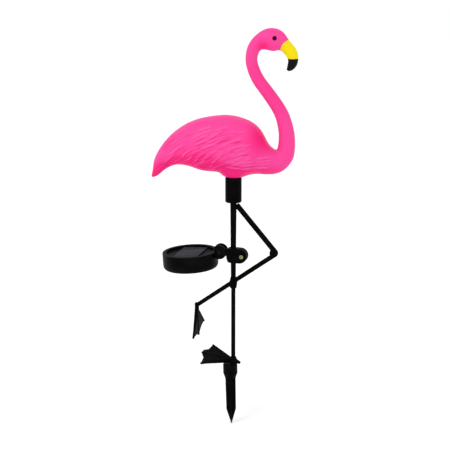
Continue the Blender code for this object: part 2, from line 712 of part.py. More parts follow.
def make_housing(tilt, look):
    inner = BOX_RADIUS - BOX_WALL
    inner_foot = BOX_FOOT_RADIUS - BOX_WALL
    foot_rise = -BOX_HEIGHT + BOX_FOOT_RISE
    profile = [(inner_foot, -BOX_HEIGHT + BOX_WALL), (inner, foot_rise + 0.4 * BOX_WALL), (inner, 0.0),
               (BOX_RADIUS - BOX_EDGE, 0.0), (BOX_RADIUS, -BOX_EDGE), (BOX_RADIUS, foot_rise),
               (0.72 * BOX_RADIUS + 0.28 * BOX_FOOT_RADIUS, -BOX_HEIGHT + 0.4 * BOX_FOOT_RISE),
               (BOX_FOOT_RADIUS, -BOX_HEIGHT)]
    housing = object_from("panel_housing", turned(profile, SIDES_OF_BOX), tilt)
    housing.location.x = BOX_REACH
    low = TONGUE_THICKNESS / 2 + PLAY
    high = low + EAR_THICKNESS
    middle_of_wall = BOX_RADIUS - BOX_WALL / 2
    inside = turned([(middle_of_wall, -BOX_HEIGHT), (middle_of_wall, OVERRUN)], SIDES_OF_BOX)
    clear_of_box = object_from("box_space", inside, tilt)
    clear_of_box.location.x = BOX_REACH
    for name, near, far in (("near_ear", -high, -low), ("far_ear", low, high)):
        ear = cross_pin(name, (0.0, 0.0), EAR_RADIUS, near, far, tilt, SIDES_OF_EAR)
        combine(ear, clear_of_box, 'DIFFERENCE')
        combine(housing, ear, 'UNION')
    hole = cross_pin("ear_hole", (0.0, 0.0), SCREW_RADIUS + GAP, -high - GAP, high + GAP, tilt)
    combine(housing, hole, 'DIFFERENCE')
    return finish(housing, look)


def make_cover(tilt, look):
    outer = BOX_RADIUS - BOX_WALL - GAP
    floor = -COVER_RECESS
    profile = [(outer, floor - COVER_FLOOR), (outer, -BOX_EDGE), (outer - BOX_EDGE, 0.0),
               (WINDOW_RADIUS + BOX_EDGE, 0.0), (WINDOW_RADIUS, -BOX_EDGE), (WINDOW_RADIUS, floor)]
    cover = object_from("panel_cover", turned(profile, SIDES_OF_BOX), tilt)
    cover.location.x = BOX_REACH
    return finish(cover, look)


def make_cell(tilt, look):
    middle = Vector((0, 0, -COVER_RECESS + GAP + CELL_THICKNESS / 2))
    cell = object_from("solar_cell", bmesh_box(CELL_LENGTH, CELL_WIDTH, CELL_THICKNESS, middle), tilt)
    cell.location.x = BOX_REACH
    return finish(cell, look)


def main():
    clear_scene()
    pink = material("pink plastic", (1.0, 0.05, 0.30), 0.38)
    black = material("black plastic", (0.012, 0.012, 0.014), 0.42)
    brass = material("brassy screw", (0.62, 0.56, 0.26), 0.30, 1.0)
    steel = material("dark screw", (0.05, 0.05, 0.05), 0.35, 1.0)
    glass = material("cell under resin", (0.06, 0.055, 0.075), 0.15)

    make_bird(pink)
    make_collar(black)
    make_leg_frame(black)
    make_lower_leg(black)
    make_standing_foot(black)
    make_raised_foot(black)
    make_spike(black)

    turned_out = Matrix.Rotation(ARM_TURN, 4, 'Z')
    swivel = empty("clamp_swivel_axis", Matrix.Translation((0, 0, CLAMP_HEIGHT)) @ turned_out)
    hinge = Matrix.Translation((0, 0, HINGE_HEIGHT)) @ turned_out @ Matrix.Translation((HINGE_REACH, 0, 0))
    tilt = empty("panel_tilt_axis", hinge @ Matrix.Rotation(BOX_DROOP, 4, 'Y'))
    make_clamp_half("clamp_back", -1, swivel, black)
    make_clamp_half("clamp_front", 1, swivel, black)
    headed_screw("clamp_screw", (-CLAMP_SCREW_REACH, 0.0), -0.85 * CLAMP_HALF_THICKNESS,
                 CLAMP_HALF_THICKNESS + GAP, swivel, SCREW_HEAD_RADIUS, brass)
    make_housing(tilt, black)
    make_cover(tilt, black)
    make_cell(tilt, glass)
    ear_outside = TONGUE_THICKNESS / 2 + PLAY + EAR_THICKNESS
    headed_screw("tilt_screw", (0.0, 0.0), -0.95 * ear_outside, ear_outside + GAP, tilt, TILT_HEAD_RADIUS,
                 steel)


main()
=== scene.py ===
# %% [markdown]
# # A solar flamingo for the garden
#
# The light is a pink bird on a thin black leg, with its other leg bent. A round solar box is clamped to
# the leg, and a finned spike goes into the soil. The plain solids of all these pieces come with the frame.
# In this lesson each solid gets the surface of the real piece: carved feathers, soft moulded joins,
# rounded edges and screws with a cross in their heads, and then materials made of nodes.

# %% Load the frame
import json
import math

import bpy
import numpy as np
from mathutils import Matrix, Vector


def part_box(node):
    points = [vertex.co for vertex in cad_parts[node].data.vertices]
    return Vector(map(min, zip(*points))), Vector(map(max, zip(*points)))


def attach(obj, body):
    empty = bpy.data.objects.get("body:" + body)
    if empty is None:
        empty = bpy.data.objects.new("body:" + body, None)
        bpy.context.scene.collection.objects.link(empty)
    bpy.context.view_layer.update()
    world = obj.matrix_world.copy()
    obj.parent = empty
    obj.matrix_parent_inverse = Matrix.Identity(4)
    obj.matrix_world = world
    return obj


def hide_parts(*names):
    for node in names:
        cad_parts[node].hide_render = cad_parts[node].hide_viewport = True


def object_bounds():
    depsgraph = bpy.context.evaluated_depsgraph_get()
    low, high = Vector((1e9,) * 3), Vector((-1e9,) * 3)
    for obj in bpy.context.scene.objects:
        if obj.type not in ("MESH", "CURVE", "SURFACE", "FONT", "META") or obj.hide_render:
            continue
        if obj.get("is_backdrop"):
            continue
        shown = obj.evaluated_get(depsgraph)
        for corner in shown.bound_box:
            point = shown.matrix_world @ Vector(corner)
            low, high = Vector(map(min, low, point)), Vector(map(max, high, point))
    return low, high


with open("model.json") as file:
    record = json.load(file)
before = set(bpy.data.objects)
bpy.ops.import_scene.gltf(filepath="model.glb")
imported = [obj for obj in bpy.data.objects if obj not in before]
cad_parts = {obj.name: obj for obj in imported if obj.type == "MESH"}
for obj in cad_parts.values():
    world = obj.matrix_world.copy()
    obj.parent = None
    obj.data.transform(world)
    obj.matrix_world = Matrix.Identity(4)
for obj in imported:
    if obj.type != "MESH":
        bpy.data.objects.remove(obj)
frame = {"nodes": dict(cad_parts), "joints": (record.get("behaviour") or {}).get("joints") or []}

CAD_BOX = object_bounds()

# %% [markdown]
# ## Tools for the bench
#
# Blender's operators act on everything that is selected. So each helper below starts by selecting nothing,
# and then picks the one piece it works on. A piece is finished when its place is written into its mesh
# and its object sits at the origin, because it then moves with its body without any sum.

# %% Selecting and placing
def select_nothing():
    bpy.ops.object.select_all(action='DESELECT')


def hold(piece):
    select_nothing()
    piece.select_set(True)
    bpy.context.view_layer.objects.active = piece


def open_for_editing(piece):
    hold(piece)
    bpy.ops.object.mode_set(mode='EDIT')
    bpy.ops.mesh.select_all(action='SELECT')


def close_up():
    """Turns every face outwards and goes back to whole objects."""
    bpy.ops.mesh.select_all(action='SELECT')
    bpy.ops.mesh.normals_make_consistent(inside=False)
    bpy.ops.object.mode_set(mode='OBJECT')


def place(piece, where):
    piece.matrix_world = where
    hold(piece)
    bpy.ops.object.transform_apply(location=True, rotation=True, scale=True)
    return piece


def between(start, end):
    """The placing that stands a piece on start and turns its +Z towards end."""
    way = (end - start).normalized()
    return Matrix.Translation(start) @ way.to_track_quat('Z', 'Y').to_matrix().to_4x4()


select_nothing()
print("nothing is selected now:", len(bpy.context.selected_objects), "objects")

# %% [markdown]
# ## Round pieces and flat pieces
#
# Nearly all of this light is either turned or cut from a flat outline. A turned piece starts as a disc,
# which is extruded and scaled again and again, as a turner reads a profile. A flat piece also starts as
# a disc, whose corners are moved onto an outline and which is then extruded once.

# %% Shapes
SIDES = 64
BAR_SIDES = 32


def turned_piece(name, profile, sides=SIDES):
    """A round solid about Z. The profile lists radius and height; it may double back to make a recess."""
    radius, height = profile[0]
    select_nothing()
    bpy.ops.mesh.primitive_circle_add(vertices=sides, radius=radius, fill_type='NGON',
                                      location=(0, 0, height))
    piece = bpy.context.active_object
    piece.name = name
    open_for_editing(piece)
    for next_radius, next_height in profile[1:]:
        bpy.ops.mesh.extrude_region_move(TRANSFORM_OT_translate={"value": (0, 0, next_height - height)})
        grow = next_radius / radius
        bpy.ops.transform.resize(value=(grow, grow, 1), center_override=(0, 0, next_height))
        radius, height = next_radius, next_height
    close_up()
    bpy.ops.object.transform_apply(location=True, rotation=False, scale=False)
    return piece


def flat_piece(name, outline, low, high):
    """An outline in X and Z, made thick along Y from low to high."""
    select_nothing()
    bpy.ops.mesh.primitive_circle_add(vertices=len(outline), radius=1, fill_type='NGON')
    piece = bpy.context.active_object
    piece.name = name
    for corner, (x, z) in zip(piece.data.vertices, outline):
        corner.co = (x, low, z)
    open_for_editing(piece)
    bpy.ops.mesh.extrude_region_move(TRANSFORM_OT_translate={"value": (0, high - low, 0)})
    close_up()
    return piece


DOME_STEPS = 5


def bar(name, start, end, radius, end_radius=None, dome=0.0):
    """A round bar between two points, with a domed end where a dome height is given."""
    end_radius = radius if end_radius is None else end_radius
    length = (end - start).length
    profile = [(radius, 0.0), (end_radius, length)]
    for i in range(1, DOME_STEPS if dome else 0):
        turn = math.radians(90) * i / DOME_STEPS
        profile.append((end_radius * math.cos(turn), length + dome * math.sin(turn)))
    return place(turned_piece(name, profile, BAR_SIDES), between(start, end))


def block(name, length, width, height, middle):
    select_nothing()
    bpy.ops.mesh.primitive_cube_add(size=1, location=middle, scale=(length, width, height))
    piece = bpy.context.active_object
    piece.name = name
    bpy.ops.object.transform_apply(location=True, rotation=True, scale=True)
    return piece


print("round pieces have", SIDES, "sides")

# %% [markdown]
# ## Joining, cutting and rounding
#
# Two ways join the pieces. A Boolean keeps each edge crisp, so it suits the box and the clamp. A voxel
# remesh lays one new skin over everything, and a little smoothing then melts the joins into soft fillets.
# That is how moulded plastic looks where a web meets a toe, so the legs and the feet are made that way.

# %% Joining and cutting
SKIN_LOST = 0.00008             # what the smoothing takes off a round bar


def apply_step(piece, kind, **settings):
    step = piece.modifiers.new(kind.lower(), kind)
    for setting, value in settings.items():
        setattr(step, setting, value)
    hold(piece)
    bpy.ops.object.modifier_apply(modifier=step.name)


def combine(piece, tool, operation='DIFFERENCE'):
    apply_step(piece, 'BOOLEAN', operation=operation, object=tool, solver='EXACT')
    bpy.data.objects.remove(tool)
    return piece


def gather(piece, others):
    """Puts several shapes into one mesh. They still overlap, until a remesh melts them together."""
    hold(piece)
    for other in others:
        other.select_set(True)
    bpy.ops.object.join()
    return piece


def melt(piece, voxel, rounds):
    """One soft skin over joined shapes, then moved out by what the smoothing took off."""
    apply_step(piece, 'REMESH', mode='VOXEL', voxel_size=voxel)
    apply_step(piece, 'SMOOTH', factor=0.5, iterations=rounds)
    open_for_editing(piece)
    bpy.ops.transform.shrink_fatten(value=SKIN_LOST)
    close_up()
    bpy.ops.object.shade_smooth()
    return piece


def round_edges(piece, width, segments=3, angle=30):
    apply_step(piece, 'BEVEL', width=width, segments=segments, limit_method='ANGLE',
               angle_limit=math.radians(angle), miter_outer='MITER_ARC')
    return smooth(piece)


def smooth(piece, angle=32):
    hold(piece)
    bpy.ops.object.shade_smooth_by_angle(angle=math.radians(angle))
    return piece


def settle(piece, finish, body, node):
    """Dresses a finished piece, says which solid it stands for, and lets it ride on its body."""
    piece.data.materials.clear()
    piece.data.materials.append(finish)
    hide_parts(node)
    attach(piece, body)
    triangles = sum(len(face.vertices) - 2 for face in piece.data.polygons)
    print(piece.name, "stands for", node, "with", triangles, "triangles")


print("the bench is ready")

# %% [markdown]
# ## Writing materials as sums
#
# A shader can be wired by hand, or written. Here a small class wraps a node's output, and a plus or a
# minus between two of them adds the Math node for it. One method makes every other kind of node.

# %% Shader sums
class Value:
    """An output of a node that can be added, subtracted and multiplied."""

    def __init__(self, finish, socket):
        self.finish = finish
        self.socket = socket

    def sum(self, operation, first, second):
        return self.finish.node('ShaderNodeMath', {"operation": operation}, {0: first, 1: second})

    def __add__(self, other):
        return self.sum('ADD', self, other)

    __radd__ = __add__

    def __sub__(self, other):
        return self.sum('SUBTRACT', self, other)

    def __rsub__(self, other):
        return self.sum('SUBTRACT', other, self)

    def __mul__(self, other):
        return self.sum('MULTIPLY', self, other)

    __rmul__ = __mul__


class Finish:
    """A material with one Principled shader, and the nodes that feed it."""

    def __init__(self, name, **plain):
        self.material = bpy.data.materials.new(name)
        self.material.use_nodes = True
        self.tree = self.material.node_tree
        self.shader = self.tree.nodes["Principled BSDF"]
        for socket, value in plain.items():
            self.shader.inputs[socket.replace("_", " ")].default_value = value

    def node(self, kind, settings=None, values=None, output=0):
        made = self.tree.nodes.new(kind)
        for name, value in (settings or {}).items():
            setattr(made, name, value)
        for name, value in (values or {}).items():
            self.feed(made.inputs[name], value)
        return Value(self, made.outputs[output])

    def feed(self, socket, value):
        if isinstance(value, Value):
            self.tree.links.new(value.socket, socket)
        else:
            socket.default_value = value

    def set(self, **values):
        for name, value in values.items():
            self.feed(self.shader.inputs[name.replace("_", " ")], value)

    def point(self):
        return self.node('ShaderNodeTexCoord', output="Object")

    def xyz(self):
        return [self.node('ShaderNodeSeparateXYZ', values={0: self.point()}, output=i) for i in range(3)]

    def attribute(self, name):
        return self.node('ShaderNodeAttribute', {"attribute_name": name}, output="Fac")

    def noise(self, scale, detail=2.0):
        """Soft random values about one half; the scale is in bumps per metre."""
        return self.node('ShaderNodeTexNoise',
                         values={"Vector": self.point(), "Scale": scale, "Detail": detail})

    def noise_at(self, first, second):
        """Noise on a map of one's own, which can be stretched into streaks."""
        place = self.node('ShaderNodeCombineXYZ', values={0: first, 1: second})
        return self.node('ShaderNodeTexNoise', values={"Vector": place, "Scale": 1.0, "Detail": 2.0})

    def rise(self, value, low, high, start=0.0, end=1.0):
        """A smooth step from start to end as the value goes from low to high."""
        return self.node('ShaderNodeMapRange', {"interpolation_type": 'SMOOTHSTEP'},
                         {"Value": value, "From Min": low, "From Max": high, "To Min": start, "To Max": end})

    def past(self, value, edge, softness):
        """Nothing before an edge and one behind it."""
        return self.rise(value, edge - softness, edge + softness)

    def maths(self, operation, first, second=0.0):
        return self.node('ShaderNodeMath', {"operation": operation}, {0: first, 1: second})

    def blend(self, share, first, second):
        """The first colour where the share is 0, the second where it is 1."""
        return self.node('ShaderNodeMix', {"data_type": 'RGBA'}, {0: share, 6: first, 7: second}, output=2)

    def distance(self, x, z, centre):
        """How far a point is from a centre, seen from the side."""
        across = x - centre[0]
        up = z - centre[1]
        return self.maths('SQRT', across * across + up * up)

    def bump(self, height, strength, distance):
        return self.node('ShaderNodeBump',
                         values={"Height": height, "Strength": strength, "Distance": distance})


def shade(red, green, blue):
    """A colour as a screen shows it, 0 to 255, turned into the light values that a shader takes."""
    return tuple((channel / 255) ** 2.2 for channel in (red, green, blue)) + (1.0,)


print("a middle grey of 128 is a light value of", round(shade(128, 128, 128)[0], 3))

# %% [markdown]
# ## Black moulded plastic
#
# The legs, clamp, box and spike are one black plastic. It isn't a flat black: the steel mould leaves a fine
# grain, and the skin is a little glossier in some places than in others. Both come from noise. The shine
# is kept low, because under a white sky even a small reflection turns black into grey.

# %% Black plastic
BLACK = shade(9, 9, 9)
WORN_BLACK = shade(19, 19, 20)
SHINY_PATCHES = 60.0            # per metre, as is the next
GRAIN = 1400.0


def black_plastic(name, shine, roughness):
    finish = Finish(name, Specular_IOR_Level=shine)
    cloud = finish.noise(SHINY_PATCHES)
    grain = finish.noise(GRAIN, 3.0)
    finish.set(Base_Color=finish.blend(finish.rise(cloud, 0.35, 0.75), BLACK, WORN_BLACK),
               Roughness=roughness + 0.25 * (cloud - 0.5),
               Normal=finish.bump(grain, 0.12, 0.0002))
    return finish.material


moulded = black_plastic("black moulded plastic", 0.02, 0.46)
box_plastic = black_plastic("black box plastic", 0.03, 0.42)
lid_plastic = black_plastic("black lid plastic", 0.012, 0.42)
print("made", moulded.name + ",", box_plastic.name, "and", lid_plastic.name)

# %% [markdown]
# ## The bird
#
# The bird is blown from pink plastic in a mould of two halves, and the feathers are strokes cut in that
# mould. The solid from the frame has the right form but coarse faces. So a copy of it is merged, its
# triangles are paired into quads, and a subdivision makes the skin smooth and fine enough to carve.

# %% A finer skin for the bird
MERGE = 0.00002
PAIR_BEND = math.radians(60)    # two triangles that bend less than this become a quad
PAIR_SLANT = math.radians(70)   # and whose quad is less slanted than this


def skin_of(node, name):
    """A copy of a solid from the frame as one smooth sheet of quads."""
    piece = bpy.data.objects.new(name, frame["nodes"][node].data.copy())
    bpy.context.scene.collection.objects.link(piece)
    open_for_editing(piece)
    bpy.ops.mesh.customdata_custom_splitnormals_clear()
    bpy.ops.mesh.remove_doubles(threshold=MERGE)
    bpy.ops.mesh.tris_convert_to_quads(face_threshold=PAIR_BEND, shape_threshold=PAIR_SLANT)
    close_up()
    apply_step(piece, 'SUBSURF', levels=2, render_levels=2)
    return piece


flamingo = skin_of("flamingo_body", "flamingo")
print("the bird's skin has", len(flamingo.data.polygons), "faces")

# %% [markdown]
# The feathers are long strokes that somebody cut into the mould by hand, so no pattern repeats. Each is
# given here by three points of a bent line: its start, its middle and its tip. The points are read from
# the side, looking down a little like the camera, so both flanks get the same strokes. Only the flanks
# are divided once more, since fine faces are of no use on the smooth neck.

# %% Where the feathers are
STROKES = (                     # start, middle and tip, each as mm along the bird and mm up the flank
    (-3.3, 313.1, -13.6, 310.6, -24.7, 306.1),
    (7.0, 307.4, -3.3, 305.3, -14.4, 302.0),
    (-24.7, 313.1, -35.0, 310.6, -45.3, 306.5),
    (-21.5, 309.0, -39.8, 304.1, -57.2, 293.0),
    (-31.0, 300.8, -41.3, 297.9, -54.8, 291.0),
    (-30.2, 295.1, -39.0, 293.4, -50.9, 288.9),
    (-20.7, 290.2, -31.8, 287.7, -42.1, 284.4),
    (-17.6, 283.6, -29.5, 277.0, -42.1, 265.6),
    (-11.2, 277.9, -21.5, 271.3, -30.2, 260.7),
    (-42.1, 283.6, -50.9, 277.9, -58.0, 268.0),
    (-33.4, 281.1, -42.1, 275.4, -50.1, 266.4),
    (-48.5, 287.7, -58.0, 281.1, -65.9, 273.0),
    (-12.0, 309.0, -21.5, 303.3, -30.2, 297.5),
    (0.7, 302.9, -12.0, 298.4, -22.3, 291.8),
    (11.8, 296.7, -3.3, 293.0, -16.8, 286.1),
    (15.0, 290.6, 3.1, 286.9, -9.6, 281.1),
    (16.5, 285.7, 8.6, 282.4, -0.9, 279.9),
    (17.3, 280.7, 7.0, 277.0, -5.7, 273.0),
    (15.0, 275.8, 7.0, 272.1, -2.5, 270.1),
    (23.7, 273.0, 12.6, 269.7, 0.7, 269.3),
    (25.3, 268.9, 12.6, 266.8, -7.2, 268.0),
    (26.1, 264.8, 12.6, 263.3, -11.2, 266.4),
    (26.9, 260.7, 10.2, 258.9, -11.2, 261.5),
    (48.3, 274.6, 38.0, 273.0, 28.4, 271.3),
    (49.1, 270.1, 38.0, 268.9, 26.1, 268.0),
    (49.1, 266.4, 38.0, 265.2, 26.9, 264.4),
    (46.7, 261.5, 37.2, 260.7, 29.2, 260.3),
    (-58.4, 292.3, -70.5, 285.3, -82.7, 275.6),
    (-71.9, 282.5, -79.0, 274.9, -90.8, 264.4),
)
SIGHT_SLOPE = 0.26              # a point on the flank looks this much lower for each metre out
FLANK = (-0.096, 0.054, 0.252, 0.318)      # back, front, low and high
FLANK_START = 0.004             # from the middle plane of the bird


def seen_height(y, z):
    return z - SIGHT_SLOPE * np.abs(y)


def step_between(low, high, value):
    share = np.clip((value - low) / (high - low), 0, 1)
    return share * share * (3 - 2 * share)


def split_flank_faces(piece):
    faces = piece.data.polygons
    centres = np.empty(len(faces) * 3)
    faces.foreach_get("center", centres)
    x, y, z = centres.reshape(-1, 3).T
    up = seen_height(y, z)
    back, front, low, high = FLANK
    chosen = (x > back) & (x < front) & (up > low) & (up < high) & (np.abs(y) > FLANK_START)
    open_for_editing(piece)
    bpy.ops.mesh.select_all(action='DESELECT')
    bpy.ops.mesh.select_mode(type='FACE')
    bpy.ops.object.mode_set(mode='OBJECT')
    faces.foreach_set("select", chosen)
    bpy.ops.object.mode_set(mode='EDIT')
    bpy.ops.mesh.subdivide(number_cuts=1)
    bpy.ops.mesh.select_mode(type='VERT')
    bpy.ops.object.mode_set(mode='OBJECT')


split_flank_faces(flamingo)
print(len(STROKES), "strokes for each flank of", len(flamingo.data.polygons), "faces")

# %% [markdown]
# A stroke is a ridge along its line with a groove under it, so light from above makes one bright and the
# other dark. For each point of the skin, the nearest place on the line gives two numbers: how far
# along the stroke it is, and how far above or below. They make the height, and the point is moved out
# along its normal by that much. The height is also kept as an attribute, from which the paint makes a
# painted highlight on the ridges and painted shade in the grooves.

# %% How high a feather stands
STROKE_WIDTH = 0.0023
STROKE_HEIGHT = 0.00062
RIDGE_SPREAD = 0.62             # in stroke widths, as are the next two
GROOVE_PLACE = 1.1
GROOVE_SPREAD = 0.38
GROOVE_DEPTH = 0.85             # as a share of the ridge's height
STROKE_START = 0.3              # a stroke rises up to this share of its length
STROKE_END = 0.8                # and fades from this one
LINE_STEPS = 36
REACH = 0.006


def line_of(stroke):
    start, middle, tip = np.array(stroke).reshape(3, 2) / 1000
    control = 2 * middle - (start + tip) / 2
    share = np.linspace(0, 1, LINE_STEPS)[:, None]
    return (1 - share) ** 2 * start + 2 * share * (1 - share) * control + share ** 2 * tip


def ridge_of(stroke, across, up):
    """The height of one stroke at each point, from -1 in its groove to 1 on its ridge."""
    line = line_of(stroke)
    way = np.gradient(line, axis=0)
    way /= np.hypot(way[:, 0], way[:, 1])[:, None]
    to_right = across[:, None] - line[:, 0]
    to_top = up[:, None] - line[:, 1]
    nearest = np.hypot(to_right, to_top).argmin(axis=1)
    each = np.arange(len(across))
    below = to_top[each, nearest] * way[nearest, 0] - to_right[each, nearest] * way[nearest, 1]
    share = nearest / (LINE_STEPS - 1)
    from_line = below / STROKE_WIDTH
    ridge = np.exp(-(from_line / RIDGE_SPREAD) ** 2)
    groove = GROOVE_DEPTH * np.exp(-((from_line - GROOVE_PLACE) / GROOVE_SPREAD) ** 2)
    return (ridge - groove) * step_between(0, STROKE_START, share) * (1 - step_between(STROKE_END, 1, share))


def off_the_middle(y):
    """Nothing along the middle of the bird, where its halves meet, and one on both flanks."""
    return step_between(0.5 * FLANK_START, 2 * FLANK_START, np.abs(y))


def feather_relief(x, y, z):
    up = seen_height(y, z)
    relief = np.zeros(len(x))
    for stroke in STROKES:
        line = line_of(stroke)
        low = line.min(axis=0) - REACH
        high = line.max(axis=0) + REACH
        near = (x > low[0]) & (x < high[0]) & (up > low[1]) & (up < high[1])
        relief[near] += ridge_of(stroke, x[near], up[near])
    return np.tanh(relief) * off_the_middle(y)


print("a single ridge stands", 1000 * STROKE_HEIGHT, "mm proud at most")

# %% [markdown]
# Two more attributes are kept with the skin. One says where fine streaks fill the room between the strokes,
# and the other where shade is painted as a deeper pink. Each starts or fades over a short stretch, which is
# given by two heights, or by a middle and a reach.

# %% Keep the shares and carve
STREAKS_TOP = (0.300, 0.318)    # heights over which the streaks fade
STREAKS_FOOT = (0.254, 0.262)
STREAKS_FRONT = (0.020, 0.044)  # and the same along the bird, at the height of the front
FRONT_HEIGHT = 0.270
FRONT_SLANT = 0.5
# The deeper pink at the shoulder, the throat and under the belly and tail is painted shade.
SHOULDER = ((0.033, 0.297), (0.017, 0.021))    # middle and reach, both along the bird and up
THROAT = ((0.036, 0.415), (0.009, 0.007))
UNDERSIDE = 0.258               # the deep pink ends at this height under the belly
UNDER_TAIL_RISE = 0.023         # and so much higher under the tail
UNDER_TAIL = (-0.053, 0.042)    # middle and reach
UNDERSIDE_FADE = (0.008, 0.010)     # below and above that line
NECK_FOOT = (0.315, 0.335)      # heights over which the tint of the neck comes
NECK_TOP = (0.385, 0.405)       # and goes


def plumage_share(x, y, z):
    """One where the flank is feathered, nothing on the back, belly, breast and neck."""
    up = seen_height(y, z)
    below_back = 1 - step_between(*STREAKS_TOP, up)
    behind_breast = 1 - step_between(*STREAKS_FRONT, x + FRONT_SLANT * (up - FRONT_HEIGHT))
    above_belly = step_between(*STREAKS_FOOT, up)
    return below_back * behind_breast * above_belly * off_the_middle(y)


def soft_patch(x, up, middle, reach):
    """One in its middle, fading over its reach."""
    return np.exp(-((x - middle[0]) / reach[0]) ** 2 - ((up - middle[1]) / reach[1]) ** 2)


def painted_shade_share(x, y, z):
    """Where shade is painted as a deeper pink: shoulder, throat, under the tail and belly; and a little
    deeper pink on the neck.
    """
    up = seen_height(y, z)
    shoulder = soft_patch(x, up, *SHOULDER)
    throat = soft_patch(x, up, *THROAT)
    line = UNDERSIDE + UNDER_TAIL_RISE * np.exp(-((x - UNDER_TAIL[0]) / UNDER_TAIL[1]) ** 2)
    low = 1 - step_between(line - UNDERSIDE_FADE[0], line + UNDERSIDE_FADE[1], up)
    neck = step_between(*NECK_FOOT, up) * (1 - step_between(*NECK_TOP, up))
    return np.clip(0.95 * shoulder + 0.8 * throat + 0.9 * low + 0.35 * neck, 0, 1)


def keep(mesh, name, values):
    kept = mesh.attributes.new(name, 'FLOAT', 'POINT')
    kept.data.foreach_set("value", values.astype(np.float32))


def carve_feathers(piece):
    skin = piece.data
    points = np.empty(len(skin.vertices) * 3)
    normals = np.empty(len(skin.vertices) * 3)
    skin.vertices.foreach_get("co", points)
    skin.vertex_normals.foreach_get("vector", normals)
    x, y, z = points.reshape(-1, 3).T
    relief = feather_relief(x, y, z)
    # the height of the feathers, which the paint also turns into painted highlight and painted shade
    keep(skin, "feather", relief)
    keep(skin, "plumage", plumage_share(x, y, z))
    # where shade is painted as a deeper pink
    keep(skin, "painted_shade_pink", painted_shade_share(x, y, z))
    lift = STROKE_HEIGHT * relief
    skin.vertices.foreach_set("co", points + normals * np.repeat(lift, 3))
    skin.update()
    return lift


lift = carve_feathers(flamingo)
hold(flamingo)
bpy.ops.object.shade_smooth()
print("the feathers stand up to", round(1000 * float(lift.max()), 2), "mm proud")

# %% [markdown]
# ## Painting the bird
#
# The pink is in the plastic. Shade is painted into it as a deeper pink at the shoulder, the throat and under
# the belly and tail, so the back looks lighter. The ridges of the feathers get a painted highlight of paler
# pink, and their grooves painted shade of a deeper pink. The bill is sprayed yellow and its tip black, and
# the eye is a dark dot on both sides. Painted edges are found by sums on a point's own x and z: a circle for
# the rear edge of the yellow, a level line for the black, and a small circle for the eye. A little noise
# keeps the edges from looking printed.

# %% Pink, yellow and black
LIGHT_PINK = (0.790, 0.050, 0.270, 1.0)
# a deeper pink for painted shade
SHADED_PINK = (0.790, 0.010, 0.165, 1.0)
# a paler pink for a painted highlight on the feather ridges, and a darker one for painted shade in their
# grooves
RIDGE_HIGHLIGHT_PINK = (0.800, 0.105, 0.350, 1.0)
GROOVE_SHADE_PINK = (0.660, 0.007, 0.135, 1.0)
BILL_YELLOW = (0.770, 0.620, 0.0, 1.0)
BILL_BLACK = shade(3, 3, 3)
EYE_MAROON = (0.016, 0.0, 0.002, 1.0)
BILL_CENTRE = (0.0702, 0.4123)  # centre of the round rear edge of the yellow, x and z
BILL_REACH = 0.0121
BILL_CHIN = 0.4090              # below this height all of the bill is yellow
BILL_BLACK_TOP = 0.4004
BILL_BACK = 0.052               # the neck is behind this x
BILL_FOOT = 0.3700              # the bill ends above this height, the breast is below it
EYE_CENTRE = (0.0504, 0.4273)
EYE_RADIUS = 0.00285
SEAM_WIDTH = 0.0004
PAINT_EDGE = 0.0003             # half the width over which one paint goes into the next
EYE_EDGE = 0.0004
MASK_EDGE = 0.001               # the same where a mask ends off the bill, so it doesn't show
WANDER = 0.0009                 # how far a sprayed edge strays from its line
CLOUDS = 28.0                   # per metre, as are the next four
WAVES = 260.0
SKIN_GRAIN = 700.0
STREAKS_ALONG = 42.0
STREAKS_ACROSS = 430.0
STREAK_SLOPE = 0.28             # the streaks rise so much for each metre forward
STREAK_BEND = 2.25              # and drop towards the tail and the breast
# how strongly the streaks add painted highlight and painted shade to the pink
STREAK_PAINTED_SHADING = 4.5
STREAK_RELIEF = 5.0


